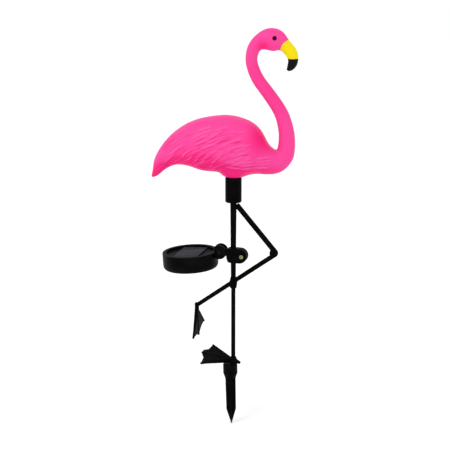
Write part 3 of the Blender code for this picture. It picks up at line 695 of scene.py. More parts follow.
def bird_paint():
    paint = Finish("painted pink plastic", Specular_IOR_Level=0.11)
    x, y, z = paint.xyz()
    cloud = paint.noise(CLOUDS)
    wobble = WANDER * (paint.noise(WAVES) - 0.5)

    up = z - SIGHT_SLOPE * paint.maths('ABSOLUTE', y)
    across = up - STREAK_SLOPE * x + STREAK_BEND * x * x
    streak = paint.noise_at(STREAKS_ALONG * x, STREAKS_ACROSS * across) - 0.5
    plumage = paint.attribute("plumage")
    # the streaks add to the feather height here, so they too get painted highlight and painted shade
    feather = paint.attribute("feather") + STREAK_PAINTED_SHADING * streak * plumage
    # the share of painted shade as a deeper pink, with some random noise in it
    deep = paint.attribute("painted_shade_pink") + 0.3 * (cloud - 0.5)
    pink = paint.blend(paint.rise(deep, 0.0, 1.0), LIGHT_PINK, SHADED_PINK)
    # paler pink on the ridges is a painted highlight, deeper pink in the grooves is painted shade
    pink = paint.blend(0.55 * paint.rise(feather, 0.1, 0.9), pink, RIDGE_HIGHLIGHT_PINK)
    pink = paint.blend(0.6 * paint.rise(feather, -0.1, -0.8), pink, GROOVE_SHADE_PINK)

    ahead = paint.past(x, BILL_BACK, MASK_EDGE)
    ahead = ahead * paint.past(z, BILL_FOOT, MASK_EDGE)
    from_centre = paint.distance(x, z, BILL_CENTRE) + wobble
    round_part = 1 - paint.past(from_centre, BILL_REACH, PAINT_EDGE)
    under_chin = 1 - paint.past(z + wobble, BILL_CHIN, PAINT_EDGE)
    bill = ahead * paint.maths('MAXIMUM', round_part, under_chin)
    tip = ahead * (1 - paint.past(z + wobble, BILL_BLACK_TOP, PAINT_EDGE))
    from_eye = paint.distance(x, z, EYE_CENTRE) + 0.4 * wobble
    eye = 1 - paint.past(from_eye, EYE_RADIUS, EYE_EDGE)
    colour = paint.blend(bill, pink, BILL_YELLOW)
    colour = paint.blend(tip, colour, BILL_BLACK)
    colour = paint.blend(eye, colour, EYE_MAROON)

    seam = 1 - paint.rise(paint.maths('ABSOLUTE', y), 0.5 * SEAM_WIDTH, SEAM_WIDTH)
    relief = 0.5 * seam + 0.3 * paint.noise(SKIN_GRAIN) + STREAK_RELIEF * streak * plumage
    paint.set(Base_Color=colour,
              Roughness=0.42 + 0.16 * (cloud - 0.5) - 0.12 * eye,
              Normal=paint.bump(relief, 0.5, 0.0003))
    return paint.material


settle(flamingo, bird_paint(), "root", "flamingo_body")

# %% [markdown]
# ## The socket under the belly
#
# A black socket joins the bird to the leg. It is a plain turned sleeve with an eased rim, so it is one
# profile: it starts inside the bore, comes down, turns outwards and goes up the outside.

# %% Socket
SOCKET_RADIUS = 0.01045
SOCKET_EDGE = 0.0011
LEG_SPIGOT_RADIUS = 0.0038
LEG_SPIGOT_LENGTH = 0.014
FIT = 0.0003                    # left open between pieces that touch

low_corner, high_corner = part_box("body_collar")
socket_low = low_corner.z
socket_high = high_corner.z
bore = LEG_SPIGOT_RADIUS + FIT
socket_profile = [(bore, socket_low + LEG_SPIGOT_LENGTH + 2 * FIT), (bore, socket_low),
                  (SOCKET_RADIUS, socket_low), (SOCKET_RADIUS, socket_high)]
socket = round_edges(turned_piece("belly_socket", socket_profile), SOCKET_EDGE, 4)
settle(socket, moulded, "root", "body_collar")

# %% [markdown]
# ## The legs
#
# The standing leg, the bent leg and the boss where they cross are one moulding. Bars are laid from hip to
# knee and from knee to ankle, and a rounded disc makes the knee. All of it is then melted into one skin.

# %% Upper leg with the bent leg
LEG_TOP_RADIUS = 0.0040
LEG_LOW_RADIUS = 0.00315
LEG_TUBE_RADIUS = 0.00275
HIP = Vector((0.0043, 0, 0.2128))
KNEE = Vector((0.0518, 0, 0.1492))
ANKLE = Vector((-0.0471, 0, 0.0795))
RAISED_TOE = Vector((0.038, 0.328, -0.944)).normalized()    # the way the hanging foot points
THIGH_RADIUS = 0.0034
SHIN_TOP_RADIUS = 0.0031
SHIN_RADIUS = 0.00265
KNEE_RADIUS = 0.0056
THIGH_OFFSET = 0.0022
SHIN_OFFSET = 0.0026
BOSS_HEIGHT = 0.1105
BOSS_RADIUS = 0.0051
BOSS_LENGTH = 0.0155
BOSS_FOOT_RADIUS = 0.0041
TUBE_SOCKET = 0.0035
ANKLE_RADIUS = 0.0027
ANKLE_ABOVE = 0.0031
ANKLE_BELOW = 0.0022
ANKLE_PEG_RADIUS = 0.0013
ANKLE_PEG_LENGTH = 0.0035
LEG_VOXEL = 0.00042

boss_low = BOSS_HEIGHT - BOSS_LENGTH / 2
boss_high = BOSS_HEIGHT + BOSS_LENGTH / 2


def beside(start, end, offset):
    """A step to the side of the way from start to end, in the plane of the leg."""
    way = (end - start).normalized()
    return offset * Vector((way.z, 0, -way.x))


thigh_start = KNEE + beside(KNEE, HIP, THIGH_OFFSET)
shin_start = KNEE - beside(KNEE, ANKLE, SHIN_OFFSET)
shin_end = ANKLE + (shin_start - ANKLE).normalized() * ANKLE_RADIUS / 2
ankle_end = ANKLE + RAISED_TOE * ANKLE_BELOW
tube_bore = LEG_TUBE_RADIUS + FIT
leg_profile = [(tube_bore, boss_low + TUBE_SOCKET), (tube_bore, boss_low), (BOSS_FOOT_RADIUS, boss_low),
               (BOSS_RADIUS, BOSS_HEIGHT), (LEG_LOW_RADIUS, boss_high),
               (LEG_TOP_RADIUS, socket_low - FIT), (LEG_SPIGOT_RADIUS, socket_low - FIT),
               (LEG_SPIGOT_RADIUS, socket_low + LEG_SPIGOT_LENGTH)]
knee_shares = ((0.45, -0.68), (0.80, -0.60), (0.95, -0.35), (1.0, 0.0),
               (0.95, 0.35), (0.80, 0.60), (0.45, 0.68))
knee_profile = [(across * KNEE_RADIUS, deep * KNEE_RADIUS) for across, deep in knee_shares]

leg = turned_piece("leg_with_bent_leg", leg_profile)
thigh = bar("thigh", thigh_start, HIP, THIGH_RADIUS)
knee = place(turned_piece("knee", knee_profile),
             Matrix.Translation(KNEE) @ Matrix.Rotation(math.radians(90), 4, 'X'))
shin = bar("shin", shin_start, shin_end, SHIN_TOP_RADIUS, SHIN_RADIUS)
knuckle = bar("knuckle", ANKLE - RAISED_TOE * ANKLE_ABOVE, ankle_end, ANKLE_RADIUS)
peg = bar("peg", ANKLE, ankle_end + RAISED_TOE * ANKLE_PEG_LENGTH, ANKLE_PEG_RADIUS)
melt(gather(leg, (thigh, knee, shin, knuckle, peg)), LEG_VOXEL, 5)
settle(leg, moulded, "root", "leg_frame")

# %% [markdown]
# Below the boss the leg is a plain, thinner tube that is pushed into the moulding. The frame gives its two
# ends, so only its radius is set here, and a small bevel eases the cut ends.

# %% Lower tube
TUBE_EDGE = 0.0003

low_corner, high_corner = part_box("lower_leg")
tube_profile = [(LEG_TUBE_RADIUS, low_corner.z), (LEG_TUBE_RADIUS, high_corner.z)]
tube = round_edges(turned_piece("lower_tube", tube_profile), TUBE_EDGE, 2)
settle(tube, moulded, "root", "lower_leg")

# %% [markdown]
# ## Webbed feet
#
# A foot is three toes with a thin web between them. The web is cut from one outline, which lists where its
# edge turns: so many degrees off the middle, and how far out. The toes are tapered bars that stand
# proud of the web on both sides. The remesh turns toes, web and hub into one soft moulding.

# %% The shape of a foot
TOE_LENGTH = 0.0440
# Along the edge of each web: degrees off the middle, share of TOE_LENGTH, whether a toe runs there
STANDING_WEB = ((-26.5, 0.990, True), (-10.0, 0.930, False), (-2.0, 1.023, False), (3.5, 1.100, True),
                (9.2, 1.105, False), (14.7, 0.985, False), (27.5, 1.050, True))
RAISED_WEB = ((-25.5, 0.977, True), (-10.0, 0.920, False), (0.5, 1.038, True), (9.0, 0.930, False),
              (17.0, 0.895, False), (29.0, 0.980, True))
TOE_RADIUS = 0.0018
TOE_END = 0.8                   # a toe's radius at its end, as a share
WEB_THICKNESS = 0.0014
FOOT_ROOT = 0.0025
FOOT_VOXEL = 0.00036


def on_foot(degrees, reach):
    turn = math.radians(degrees)
    return Vector((reach * math.cos(turn), reach * math.sin(turn), 0))


def toe_way(toe, side, degrees):
    """The direction of a toe that lies so far off the middle of its foot."""
    turn = math.radians(degrees)
    return toe.normalized() * math.cos(turn) + side.normalized() * math.sin(turn)


def webbed_foot(name, web):
    """A foot with its middle along +X, flat in X and Y."""
    root = Vector((FOOT_ROOT, 0, 0))
    outline = [(FOOT_ROOT, 0.4 * TOE_RADIUS), (FOOT_ROOT, -0.4 * TOE_RADIUS)]
    toes = []
    for degrees, share, is_toe in web:
        reach = share * TOE_LENGTH
        if is_toe:
            reach -= 0.5 * TOE_RADIUS
            toes.append(bar("toe", root, on_foot(degrees, reach), TOE_RADIUS, TOE_END * TOE_RADIUS,
                            dome=0.5 * TOE_RADIUS))
        outline.append(on_foot(degrees, reach).to_2d())
    lying = Matrix.Rotation(math.radians(-90), 4, 'X')
    foot = place(flat_piece(name, outline, -WEB_THICKNESS / 2, WEB_THICKNESS / 2), lying)
    return gather(foot, toes)


def foot_placing(origin, toe, side):
    """Turns +X into the toe's direction and +Y towards the side."""
    up = toe.cross(side).normalized()
    across = up.cross(toe.normalized())
    turn = Matrix((toe.normalized(), across, up)).transposed()
    return Matrix.Translation(origin) @ turn.to_4x4()


print("the webs turn at", len(STANDING_WEB), "and", len(RAISED_WEB), "points")

# %% [markdown]
# The foot on the ground has a hub round the tube, a spur behind it, and a rib under the toe that slopes down.
# It is made flat, with its middle along +X, and then turned by two directions: where its middle points, and
# where its side points. The bore is cut after the remesh, so that it stays round.

# %% The foot on the ground
STANDING_HEIGHT = 0.0059
STANDING_TOE = Vector((-0.886, 0.463, 0.0))
STANDING_SIDE = Vector((0.436, 0.836, 0.332))
HUB_RADIUS = 0.0048
HUB_LOW = 0.0003
HUB_HIGH = 0.0092
SPUR_LENGTH = 0.0105
SPUR_RADIUS = 0.0040
SPUR_DROP = 0.0031
SPUR_DOME = 0.12                # the share of its length that is domed
RIB_LOW = 0.0006                # clear of the spike's collar
PAST_COLLAR = 0.0137            # from the leg to the far edge of that collar


def rib_outline(toe, reach):
    """The rib from the hub to the toe that slopes down, as reach along the ground and height."""
    end = STANDING_HEIGHT + reach * toe.z
    return [(0.0, STANDING_HEIGHT - TOE_RADIUS / 2), (0.0, RIB_LOW), (PAST_COLLAR, RIB_LOW),
            (reach, end - 0.6 * TOE_RADIUS), (reach, end)]


origin = Vector((0, 0, STANDING_HEIGHT))
low_foot = webbed_foot("foot_on_the_ground", STANDING_WEB)
place(low_foot, foot_placing(origin, STANDING_TOE, STANDING_SIDE))
hub_profile = [(0.86 * HUB_RADIUS, HUB_LOW), (HUB_RADIUS, STANDING_HEIGHT), (0.82 * HUB_RADIUS, HUB_HIGH)]
hub = turned_piece("hub", hub_profile)
spur_end = origin - STANDING_TOE.normalized() * (1 - SPUR_DOME) * SPUR_LENGTH - Vector((0, 0, SPUR_DROP))
spur_start = Vector((0, 0, RIB_LOW + SPUR_RADIUS))
spur = bar("spur", spur_start, spur_end, SPUR_RADIUS, 0.45 * SPUR_RADIUS, dome=SPUR_DOME * SPUR_LENGTH)
degrees, share, _ = STANDING_WEB[0]
low_toe = toe_way(STANDING_TOE, STANDING_SIDE, degrees)
low_rib = rib_outline(low_toe, 0.9 * share * TOE_LENGTH)
rib = place(flat_piece("rib", low_rib, -WEB_THICKNESS / 2, WEB_THICKNESS / 2),
            Matrix.Rotation(math.atan2(low_toe.y, low_toe.x), 4, 'Z'))
melt(gather(low_foot, (hub, spur, rib)), FOOT_VOXEL, 3)
combine(low_foot, turned_piece("bore", [(tube_bore, -HUB_RADIUS), (tube_bore, HUB_HIGH + HUB_RADIUS)]))
smooth(low_foot, 50)
settle(low_foot, moulded, "root", "standing_foot")

# %% [markdown]
# The raised foot is pushed onto a peg at the ankle and hangs down from it. The same function makes it from
# the other web. A short heel takes the peg, and a ridge runs from the heel to the tip of the outer toe.

# %% The raised foot
RAISED_SIDE = Vector((0.336, 0.873, 0.344))
HEEL_LENGTH = 0.0055

face = ankle_end + RAISED_TOE * FIT
high_foot = place(webbed_foot("raised_webbed_foot", RAISED_WEB), foot_placing(face, RAISED_TOE, RAISED_SIDE))
heel = bar("heel", face, face + RAISED_TOE * HEEL_LENGTH, 1.04 * ANKLE_RADIUS, 0.95 * ANKLE_RADIUS)
degrees, share, _ = RAISED_WEB[0]
ridge_end = face + toe_way(RAISED_TOE, RAISED_SIDE, degrees) * (share * TOE_LENGTH - 0.5 * TOE_RADIUS)
ridge = bar("ridge", face + RAISED_TOE * 0.5 * ANKLE_RADIUS, ridge_end, ANKLE_RADIUS, 0.6 * TOE_RADIUS)
melt(gather(high_foot, (heel, ridge)), FOOT_VOXEL, 3)
peg_end = face + RAISED_TOE * (ANKLE_PEG_LENGTH + FIT)
combine(high_foot, bar("peg_bore", face - RAISED_TOE * HEEL_LENGTH, peg_end, ANKLE_PEG_RADIUS + FIT))
smooth(high_foot, 50)
settle(high_foot, moulded, "root", "raised_foot")

# %% [markdown]
# ## The spike
#
# The spike is a collar, a short shoulder and a blade with four fins, so that it holds in soil without
# turning. The fins are two flat outlines that cross. A Boolean keeps their edges crisp, and a narrow bevel
# catches the light along each edge, which is most of what one sees of a black spike.

# %% Ground spike
SPIKE_OFFSET = -0.0040
SPIKE_LEAN = math.radians(1.25)
SPIKE_COLLAR_RADIUS = 0.0093
SPIKE_COLLAR_HEIGHT = 0.0140
SPIKE_SHOULDER = 0.0050
SPIKE_LENGTH = 0.0820
SPIKE_POINT = 0.0200
SPIKE_EDGE = 0.0008
SPIKE_BEVEL = 0.00035
TUBE_DEPTH = 0.0105
FIN_REACH = 0.0068
FIN_THICKNESS = 0.0026
FIN_TIP = 0.0004
CORE_RADIUS = 0.0028
CORE_END_RADIUS = 0.0018


def fin(name, turn, reach, tip):
    top = -SPIKE_COLLAR_HEIGHT + 0.3 * reach
    point_start = -SPIKE_LENGTH + SPIKE_POINT
    right = [(reach, top), (0.92 * reach, point_start), (FIN_TIP, -tip)]
    outline = right + [(-x, z) for x, z in reversed(right)]
    blade = flat_piece(name, outline, -FIN_THICKNESS / 2, FIN_THICKNESS / 2)
    return place(blade, Matrix.Rotation(turn, 4, 'Z'))


shoulder = -SPIKE_COLLAR_HEIGHT - SPIKE_SHOULDER
spike_profile = [(0.70 * FIN_REACH, shoulder - SPIKE_EDGE), (FIN_REACH + 0.5 * SPIKE_EDGE, shoulder),
                 (0.93 * SPIKE_COLLAR_RADIUS, -SPIKE_COLLAR_HEIGHT),
                 (SPIKE_COLLAR_RADIUS, -0.93 * SPIKE_COLLAR_HEIGHT), (SPIKE_COLLAR_RADIUS, -SPIKE_EDGE),
                 (SPIKE_COLLAR_RADIUS - SPIKE_EDGE, 0.0)]
spike = turned_piece("finned_spike", spike_profile)
core_end = Vector((0, 0, -SPIKE_LENGTH + 0.6 * SPIKE_POINT))
combine(spike, bar("core", Vector((0, 0, shoulder)), core_end, CORE_RADIUS, CORE_END_RADIUS), 'UNION')
combine(spike, fin("wide_fin", 0.0, FIN_REACH, SPIKE_LENGTH), 'UNION')
combine(spike, fin("deep_fin", math.radians(90), 0.94 * FIN_REACH, SPIKE_LENGTH - FIN_THICKNESS), 'UNION')
place(spike, Matrix.Translation((SPIKE_OFFSET, 0, 0)) @ Matrix.Rotation(-SPIKE_LEAN, 4, 'Y'))
combine(spike, turned_piece("bore", [(tube_bore, -TUBE_DEPTH - FIT), (tube_bore, SPIKE_COLLAR_HEIGHT)]))
round_edges(spike, SPIKE_BEVEL, 2, 40)
settle(spike, moulded, "root", "ground_stake")

# %% [markdown]
# ## Where the clamp and the box are
#
# The frame says where the light moves. One joint stands in the leg, and the clamp swivels about it. The
# other lies across the arm, and the box tilts about it. Their places give the way that the arm points,
# and so two placings, one for the clamp and one for the box. Both have +X outwards along the arm.

# %% Read the joints
joints = {joint["name"]: joint for joint in frame["joints"]}
swivel_point = Vector(joints["clamp_swivel"]["pos_m"])
hinge_point = Vector(joints["panel_tilt"]["pos_m"])
arm = Vector((hinge_point.x, hinge_point.y, 0))
arm_turn = math.atan2(arm.y, arm.x)
BOX_DROOP = math.radians(3.8)
clamp_placing = Matrix.Translation(swivel_point) @ Matrix.Rotation(arm_turn, 4, 'Z')
box_placing = (Matrix.Translation(hinge_point) @ Matrix.Rotation(arm_turn, 4, 'Z')
               @ Matrix.Rotation(BOX_DROOP, 4, 'Y'))
hinge_reach = arm.length
hinge_rise = hinge_point.z - swivel_point.z
print("the arm points", round(math.degrees(arm_turn), 1), "degrees round")
print("it is", round(1000 * hinge_reach, 1), "mm from the leg to the hinge")

# %% [markdown]
# ## The clamp
#
# Two halves close round the leg, and a screw holds them. Seen along the screw, a half is a round end, a
# straight body and a tongue that goes between the ears of the box. It is cut from one outline. The edge
# of the outer face is bevelled by hand, with the loop round that face selected.

# %% Clamp halves
LOBE_RADIUS = 0.0095
LOBE_REACH = 0.0091
CLAMP_SHOULDER = 0.0050
CLAMP_THICKNESS = 0.0062
CLAMP_EDGE = 0.0014
TONGUE_RADIUS = 0.0046
TONGUE_THICKNESS = 0.0050
EAR_RADIUS = 0.0094
EAR_THICKNESS = 0.0030
PLAY = 0.0004                   # left open between pieces that turn on each other
SCREW_RADIUS = 0.0015
CLAMP_SCREW_PLACE = (-0.0125, 0.0)
SCREW_HEAD_RADIUS = 0.0028
SCREW_HEAD_HEIGHT = 0.0018
CLAMP_ARC = 24
TONGUE_ARC = 12


def arc(centre, radius, start, end, steps):
    """Points on part of a circle, with the angles in degrees."""
    turns = [math.radians(start + (end - start) * i / steps) for i in range(steps + 1)]
    return [(centre[0] + radius * math.cos(turn), centre[1] + radius * math.sin(turn)) for turn in turns]


def clamp_outline():
    lobe = arc((-LOBE_REACH, 0), LOBE_RADIUS, 90, 270, CLAMP_ARC)
    below = [(0.9 * CLAMP_SHOULDER, -LOBE_RADIUS), (1.3 * CLAMP_SHOULDER, -0.85 * LOBE_RADIUS),
             (1.8 * CLAMP_SHOULDER, hinge_rise - TONGUE_RADIUS)]
    tongue = arc((hinge_reach, hinge_rise), TONGUE_RADIUS, -90, 90, TONGUE_ARC)
    above = [(1.6 * CLAMP_SHOULDER, hinge_rise + TONGUE_RADIUS), (1.0 * CLAMP_SHOULDER, LOBE_RADIUS)]
    return lobe + below + tongue + above


def across_arm(name, spot, radius, low, high):
    """A round cutter along Y, through a spot in X and Z."""
    return bar(name, Vector((spot[0], low, spot[1])), Vector((spot[0], high, spot[1])), radius)


def bevel_outer_face(piece, depth, width):
    """Rounds the rim of the face that lies at one depth in Y."""
    open_for_editing(piece)
    bpy.ops.mesh.select_all(action='DESELECT')
    bpy.ops.object.mode_set(mode='OBJECT')
    for face in piece.data.polygons:
        face.select = abs(face.center.y - depth) < FIT / 10
    bpy.ops.object.mode_set(mode='EDIT')
    bpy.ops.mesh.select_mode(type='FACE')
    bpy.ops.mesh.region_to_loop()
    bpy.ops.mesh.bevel(offset=width, segments=4, affect='EDGES', clamp_overlap=True)
    bpy.ops.mesh.select_mode(type='VERT')
    close_up()


def clamp_half(name, hand, node):
    """The half towards +Y has hand 1, the other -1."""
    inner = hand * FIT / 2
    outer = hand * CLAMP_THICKNESS
    half = flat_piece(name, clamp_outline(), min(inner, outer), max(inner, outer))
    bevel_outer_face(half, outer, CLAMP_EDGE)
    ear_space = 2 * (EAR_RADIUS + LOBE_RADIUS)
    start = hinge_reach - EAR_RADIUS - PLAY
    depth = hand * (TONGUE_THICKNESS + CLAMP_THICKNESS) / 2
    combine(half, block("relief", ear_space, CLAMP_THICKNESS, ear_space, (start + ear_space / 2, depth, 0)))
    groove = (LEG_LOW_RADIUS + LEG_TOP_RADIUS) / 2 + PLAY
    combine(half, turned_piece("groove", [(groove, -2 * LOBE_RADIUS), (groove, 2 * LOBE_RADIUS)]))
    reach = 3 * CLAMP_THICKNESS
    combine(half, across_arm("screw_hole", CLAMP_SCREW_PLACE, SCREW_RADIUS + FIT, -reach, reach))
    combine(half, across_arm("hinge_hole", (hinge_reach, hinge_rise), SCREW_RADIUS + PLAY, -reach, reach))
    smooth(half, 40)
    place(half, clamp_placing)
    settle(half, moulded, "clamp", node)


clamp_half("clamp_half_behind", -1, "clamp_back")
clamp_half("clamp_half_in_front", 1, "clamp_front")

# %% [markdown]
# ## Screws
#
# Both screws have a round head with a cross in it. The shank and head are turned in one go. The cross is
# two small blocks that cut into the head, and it makes the difference between a button and a screw.

# %% Screw metal
TARNISH = 900.0                 # spots per metre
METAL_GRAIN = 2600.0            # grains per metre


def screw_metal(name, colour, worn, roughness):
    metal = Finish(name, Metallic=1.0)
    cloud = metal.noise(TARNISH)
    metal.set(Base_Color=metal.blend(metal.rise(cloud, 0.40, 0.65), colour, worn),
              Roughness=roughness + 0.3 * (cloud - 0.5),
              Normal=metal.bump(metal.noise(METAL_GRAIN), 0.15, 0.0001))
    return metal.material


brassy = screw_metal("yellow zinc", (0.34, 0.32, 0.15, 1.0), (0.16, 0.15, 0.06, 1.0), 0.30)
blackened = screw_metal("blackened steel", (0.008, 0.008, 0.009, 1.0), (0.018, 0.018, 0.018, 1.0), 0.42)
print("made", brassy.name, "and", blackened.name)

# %% [markdown]
# A screw is turned standing up, from the end of its shank to the top of its head, and the cross is cut there.
# Then it is laid along Y, with its head to the side that is asked for, and placed with the pieces it holds.

# %% Turn the screws
SCREW_SIDES = 40
HEAD_SHAPE = ((1.0, 0.0), (1.0, 0.35), (0.90, 0.72), (0.62, 0.94), (0.25, 1.0))    # shares of radius, height
CROSS_WIDTH = 0.0006
CROSS_DEPTH = 0.0010


def screw(name, spot, start, head_base, head_radius):
    """A screw along Y from start to the base of its head, on the side where the head is."""
    shank = abs(head_base - start)
    profile = [(SCREW_RADIUS, 0.0), (SCREW_RADIUS, shank)]
    for wide, high in HEAD_SHAPE:
        profile.append((wide * head_radius, shank + high * SCREW_HEAD_HEIGHT))
    piece = turned_piece(name, profile, SCREW_SIDES)
    top = shank + SCREW_HEAD_HEIGHT
    cross = 1.15 * head_radius
    combine(piece, block("slot", cross, CROSS_WIDTH, 2 * CROSS_DEPTH, (0, 0, top)))
    combine(piece, block("cross_slot", CROSS_WIDTH, cross, 2 * CROSS_DEPTH, (0, 0, top)))
    smooth(piece, 35)
    turn = math.radians(-90 if head_base > start else 90)
    return place(piece, Matrix.Translation((spot[0], start, spot[1])) @ Matrix.Rotation(turn, 4, 'X'))


clamp_screw = screw("clamp_screw_with_cross", CLAMP_SCREW_PLACE, -0.85 * CLAMP_THICKNESS,
                    CLAMP_THICKNESS + FIT, SCREW_HEAD_RADIUS)
place(clamp_screw, clamp_placing)
settle(clamp_screw, brassy, "clamp", "clamp_screw")

TILT_HEAD_RADIUS = 0.0030
ear_outside = TONGUE_THICKNESS / 2 + PLAY + EAR_THICKNESS
tilt_screw = screw("tilt_screw_with_cross", (0, 0), -0.95 * ear_outside, ear_outside + FIT, TILT_HEAD_RADIUS)
place(tilt_screw, box_placing)
settle(tilt_screw, blackened, "panel", "tilt_screw")

# %% [markdown]
# ## The solar box
#
# The box is a shallow round tub. Its two ears hold the tongue of the clamp, and a lid with a sunken window
# closes it. The tub is turned with its hollow inside, so its wall has a real thickness. The ears are
# added by a Boolean, and trimmed first so that they stay out of the hollow.

# %% Tub with ears
BOX_REACH = 0.0408
BOX_RADIUS = 0.0358
BOX_HEIGHT = 0.0220
BOX_WALL = 0.0020
BOX_FOOT_RADIUS = 0.0315
BOX_FOOT_RISE = 0.0060
BOX_EDGE = 0.0005
EAR_EDGE = 0.0005
BOX_SIDES = 96
FOOT_ARC = 6

inside = BOX_RADIUS - BOX_WALL
middle_of_wall = BOX_RADIUS - BOX_WALL / 2
foot_top = -BOX_HEIGHT + BOX_FOOT_RISE


def tub_profile():
    """Up the inside, over the rim, down the outside and round the foot."""
    profile = [(BOX_FOOT_RADIUS - BOX_WALL, -BOX_HEIGHT + BOX_WALL), (inside, foot_top + 0.4 * BOX_WALL),
               (inside, 0.0), (BOX_RADIUS - BOX_EDGE, 0.0), (BOX_RADIUS, -BOX_EDGE)]
    width = BOX_RADIUS - BOX_FOOT_RADIUS
    for i in range(FOOT_ARC + 1):
        turn = math.radians(90) * i / FOOT_ARC
        profile.append((BOX_FOOT_RADIUS + width * math.cos(turn), foot_top - BOX_FOOT_RISE * math.sin(turn)))
    return profile


box_middle = Matrix.Translation((BOX_REACH, 0, 0))
tub = place(turned_piece("solar_tub", tub_profile(), BOX_SIDES), box_middle)
ear_low = TONGUE_THICKNESS / 2 + PLAY
for near, far in ((-ear_outside, -ear_low), (ear_low, ear_outside)):
    ear = across_arm("ear", (0, 0), EAR_RADIUS, near, far)
    round_edges(ear, EAR_EDGE, 2, 50)
    clear = [(middle_of_wall, -BOX_HEIGHT), (middle_of_wall, BOX_HEIGHT)]
    combine(ear, place(turned_piece("clear", clear, BOX_SIDES), box_middle))
    combine(tub, ear, 'UNION')
combine(tub, across_arm("ear_hole", (0, 0), SCREW_RADIUS + FIT, -2 * ear_outside, 2 * ear_outside))
smooth(tub, 35)
place(tub, box_placing)
settle(tub, box_plastic, "panel", "panel_housing")

# %% [markdown]
# The lid is turned too: up its outer side, over the rim and down the side of the window. The face that
# the profile ends on is the floor of the window, on which the cell lies.

# %% Lid with its window
LID_RIM = 0.0029
LID_RECESS = 0.0030
LID_FLOOR = 0.0015
LID_EDGE = 0.0004

lid_radius = inside - FIT
window = lid_radius - LID_RIM
lid_profile = [(lid_radius, -LID_RECESS - LID_FLOOR), (lid_radius, 0.0), (window, 0.0), (window, -LID_RECESS)]
lid = turned_piece("lid_with_window", lid_profile, BOX_SIDES)
round_edges(lid, LID_EDGE, 3)
place(lid, box_placing @ box_middle)
settle(lid, lid_plastic, "panel", "panel_cover")

# %% [markdown]
# ## The solar cell
#
# The cell is a thin plate of silicon under clear resin. Its crystals are large and nearly black, and the
# thin metal fingers on it are only just seen. The resin makes it look like dark glass, which is done with
# a clear coat over a dull base. That base is a lighter grey than the silicon, which is painted reflection
# of the white sky in the resin. The fingers and the crystals are a pattern on the cell's own coordinates,
# so a Mapping node first turns the pattern with the box.

# %% Cell finish
CELL_LENGTH = 0.032
CELL_WIDTH = 0.049
CELL_THICKNESS = 0.0012
CELL_EDGE = 0.00025
FINGERS = 0.0022                # between two fingers
FINGER_SIDE = (0.00005, 0.00018)    # a finger fades between these distances from its middle
BUS_PLACE = 0.0125              # from the middle of the cell to each bus bar
BUS_SIDE = (0.0004, 0.0006)
CRYSTALS = 170.0                # per metre
# the greys of the crystals are lightened as painted reflection of the white sky, and they vary at random
CELL_GREY_AND_PAINTED_REFLECTION = shade(52, 51, 57)
PALER_CELL_GREY_AND_PAINTED_REFLECTION = shade(59, 58, 64)
SILVER = shade(74, 74, 79)


def cell_under_resin():
    cell = Finish("cell under resin", Roughness=0.38, Specular_IOR_Level=0.0,
                  Coat_Weight=0.06, Coat_Roughness=0.12)
    own = (box_placing @ box_middle).inverted()
    turned = cell.node('ShaderNodeMapping', {"vector_type": 'POINT'},
                       {"Vector": cell.point(), "Location": own.to_translation(), "Rotation": own.to_euler()})
    along, across, _ = [cell.node('ShaderNodeSeparateXYZ', values={0: turned}, output=i) for i in range(3)]
    crystals = cell.node('ShaderNodeTexVoronoi', values={"Vector": turned, "Scale": CRYSTALS}, output="Color")
    tone = cell.node('ShaderNodeSeparateXYZ', values={0: crystals})
    finger = 1 - cell.rise(cell.maths('PINGPONG', across, FINGERS / 2), *FINGER_SIDE)
    bus = 1 - cell.rise(cell.maths('ABSOLUTE', cell.maths('ABSOLUTE', across) - BUS_PLACE), *BUS_SIDE)
    edge = cell.rise(cell.maths('ABSOLUTE', along), 0.49 * CELL_LENGTH, 0.50 * CELL_LENGTH)
    lines = cell.maths('MINIMUM', 0.25 * finger + 0.5 * bus, 1.0) * (1 - edge)
    # the grey of the crystals is partly their own tone and partly painted reflection
    cell.set(Base_Color=cell.blend(lines, cell.blend(tone, CELL_GREY_AND_PAINTED_REFLECTION, PALER_CELL_GREY_AND_PAINTED_REFLECTION), SILVER))
    return cell.material


middle = (0, 0, -LID_RECESS + FIT + CELL_THICKNESS / 2)
plate = block("solar_cell_plate", CELL_LENGTH, CELL_WIDTH, CELL_THICKNESS, middle)
round_edges(plate, CELL_EDGE, 2)
place(plate, box_placing @ box_middle)
settle(plate, cell_under_resin(), "panel", "solar_cell")

# %% [markdown]
# ## Floor, light and camera
#
# A pale floor and large soft lights show the form without hard shadows. The key light is high on the left,
# because the bird is lighter on that side. The camera looks down a little, and its lens follows from
# how many metres one pixel of the picture covers. The colours are shown without a film look, as a
# screen shows them, because a film look would dull this pink.

# %% Floor
FLOOR_SIZE = 40.0
FLOOR_GAP = 0.0002

select_nothing()
bpy.ops.mesh.primitive_plane_add(size=FLOOR_SIZE, location=(0, 0, CAD_BOX[0].z - FLOOR_GAP))
floor = bpy.context.active_object
floor.name = "floor"
pale = Finish("pale floor", Roughness=0.9, Specular_IOR_Level=0.0)
pale.set(Base_Color=(0.97, 0.97, 0.97, 1.0))
floor.data.materials.append(pale.material)
floor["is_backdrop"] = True
print("the floor lies at", round(1000 * floor.location.z, 1), "mm")

# %% [markdown]
# A lamp shines along its own -Z, so it is aimed with +Z and then turned over. The white sky does most of the
# work, as a tent of white cloth does round a small thing. The lamps only give the bird its form.

# %% Lights
SKY_STRENGTH = 1.03


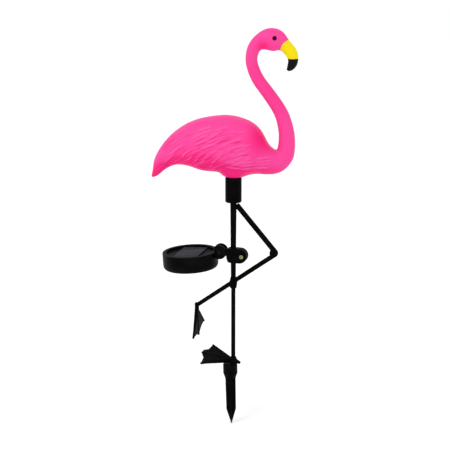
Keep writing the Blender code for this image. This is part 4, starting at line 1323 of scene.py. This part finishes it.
def soft_light(name, spot, aim, size, power):
    lamp = bpy.data.lights.new(name, 'AREA')
    lamp.shape = 'DISK'
    lamp.size = size
    lamp.energy = power
    lamp_object = bpy.data.objects.new(name, lamp)
    bpy.context.scene.collection.objects.link(lamp_object)
    lamp_object.matrix_world = between(Vector(spot), Vector(aim)) @ Matrix.Rotation(math.pi, 4, 'X')


CAMERA_AIM = Vector((-0.01071, 0, 0.1863))
soft_light("key", (-1.3, -1.3, 2.2), CAMERA_AIM, size=1.2, power=20.0)
soft_light("fill", (1.8, -1.2, 0.9), CAMERA_AIM, size=1.6, power=3.0)
world = bpy.data.worlds.new("soft studio")
world.use_nodes = True
sky = world.node_tree.nodes["Background"]
sky.inputs["Color"].default_value = (1.0, 1.0, 1.0, 1.0)
sky.inputs["Strength"].default_value = SKY_STRENGTH
bpy.context.scene.world = world
print("two soft lights and a white sky")

# %% [markdown]
# The camera stands well back, so that lines hardly run together. Its place is worked out from one point that
# it looks at, one angle down and one distance, which are easier to correct than six separate numbers.

# %% Camera
PHOTO_WIDTH = 450
METRES_PER_PIXEL = 0.001275
CAMERA_DISTANCE = 2.2
LOOK_DOWN = math.radians(14.6)

lens = bpy.data.cameras.new("camera")
lens.lens = lens.sensor_width * CAMERA_DISTANCE / (PHOTO_WIDTH * METRES_PER_PIXEL)
camera = bpy.data.objects.new("camera", lens)
bpy.context.scene.collection.objects.link(camera)
back = Vector((0, -math.cos(LOOK_DOWN), math.sin(LOOK_DOWN)))
camera.location = CAMERA_AIM + back * CAMERA_DISTANCE
camera.rotation_euler = (math.radians(90) - LOOK_DOWN, 0, 0)
bpy.context.scene.camera = camera
bpy.context.scene.view_settings.view_transform = 'Standard'
print("the lens is", round(lens.lens, 1), "mm long")

# %% [markdown]
# ## Last measure
# The dressed light is measured again, and how much it has grown beyond the frame it is built on is printed
# for x, y and z.
# The dressed light may not outgrow the frame it is built on. Both boxes are written down side by side.

# %% Compare sizes and finish
SEEN_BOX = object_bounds()
growth = [round(1000 * (SEEN_BOX[1][i] - SEEN_BOX[0][i] - CAD_BOX[1][i] + CAD_BOX[0][i]), 2)
          for i in range(3)]
print("grown by", growth, "mm in x, y and z")
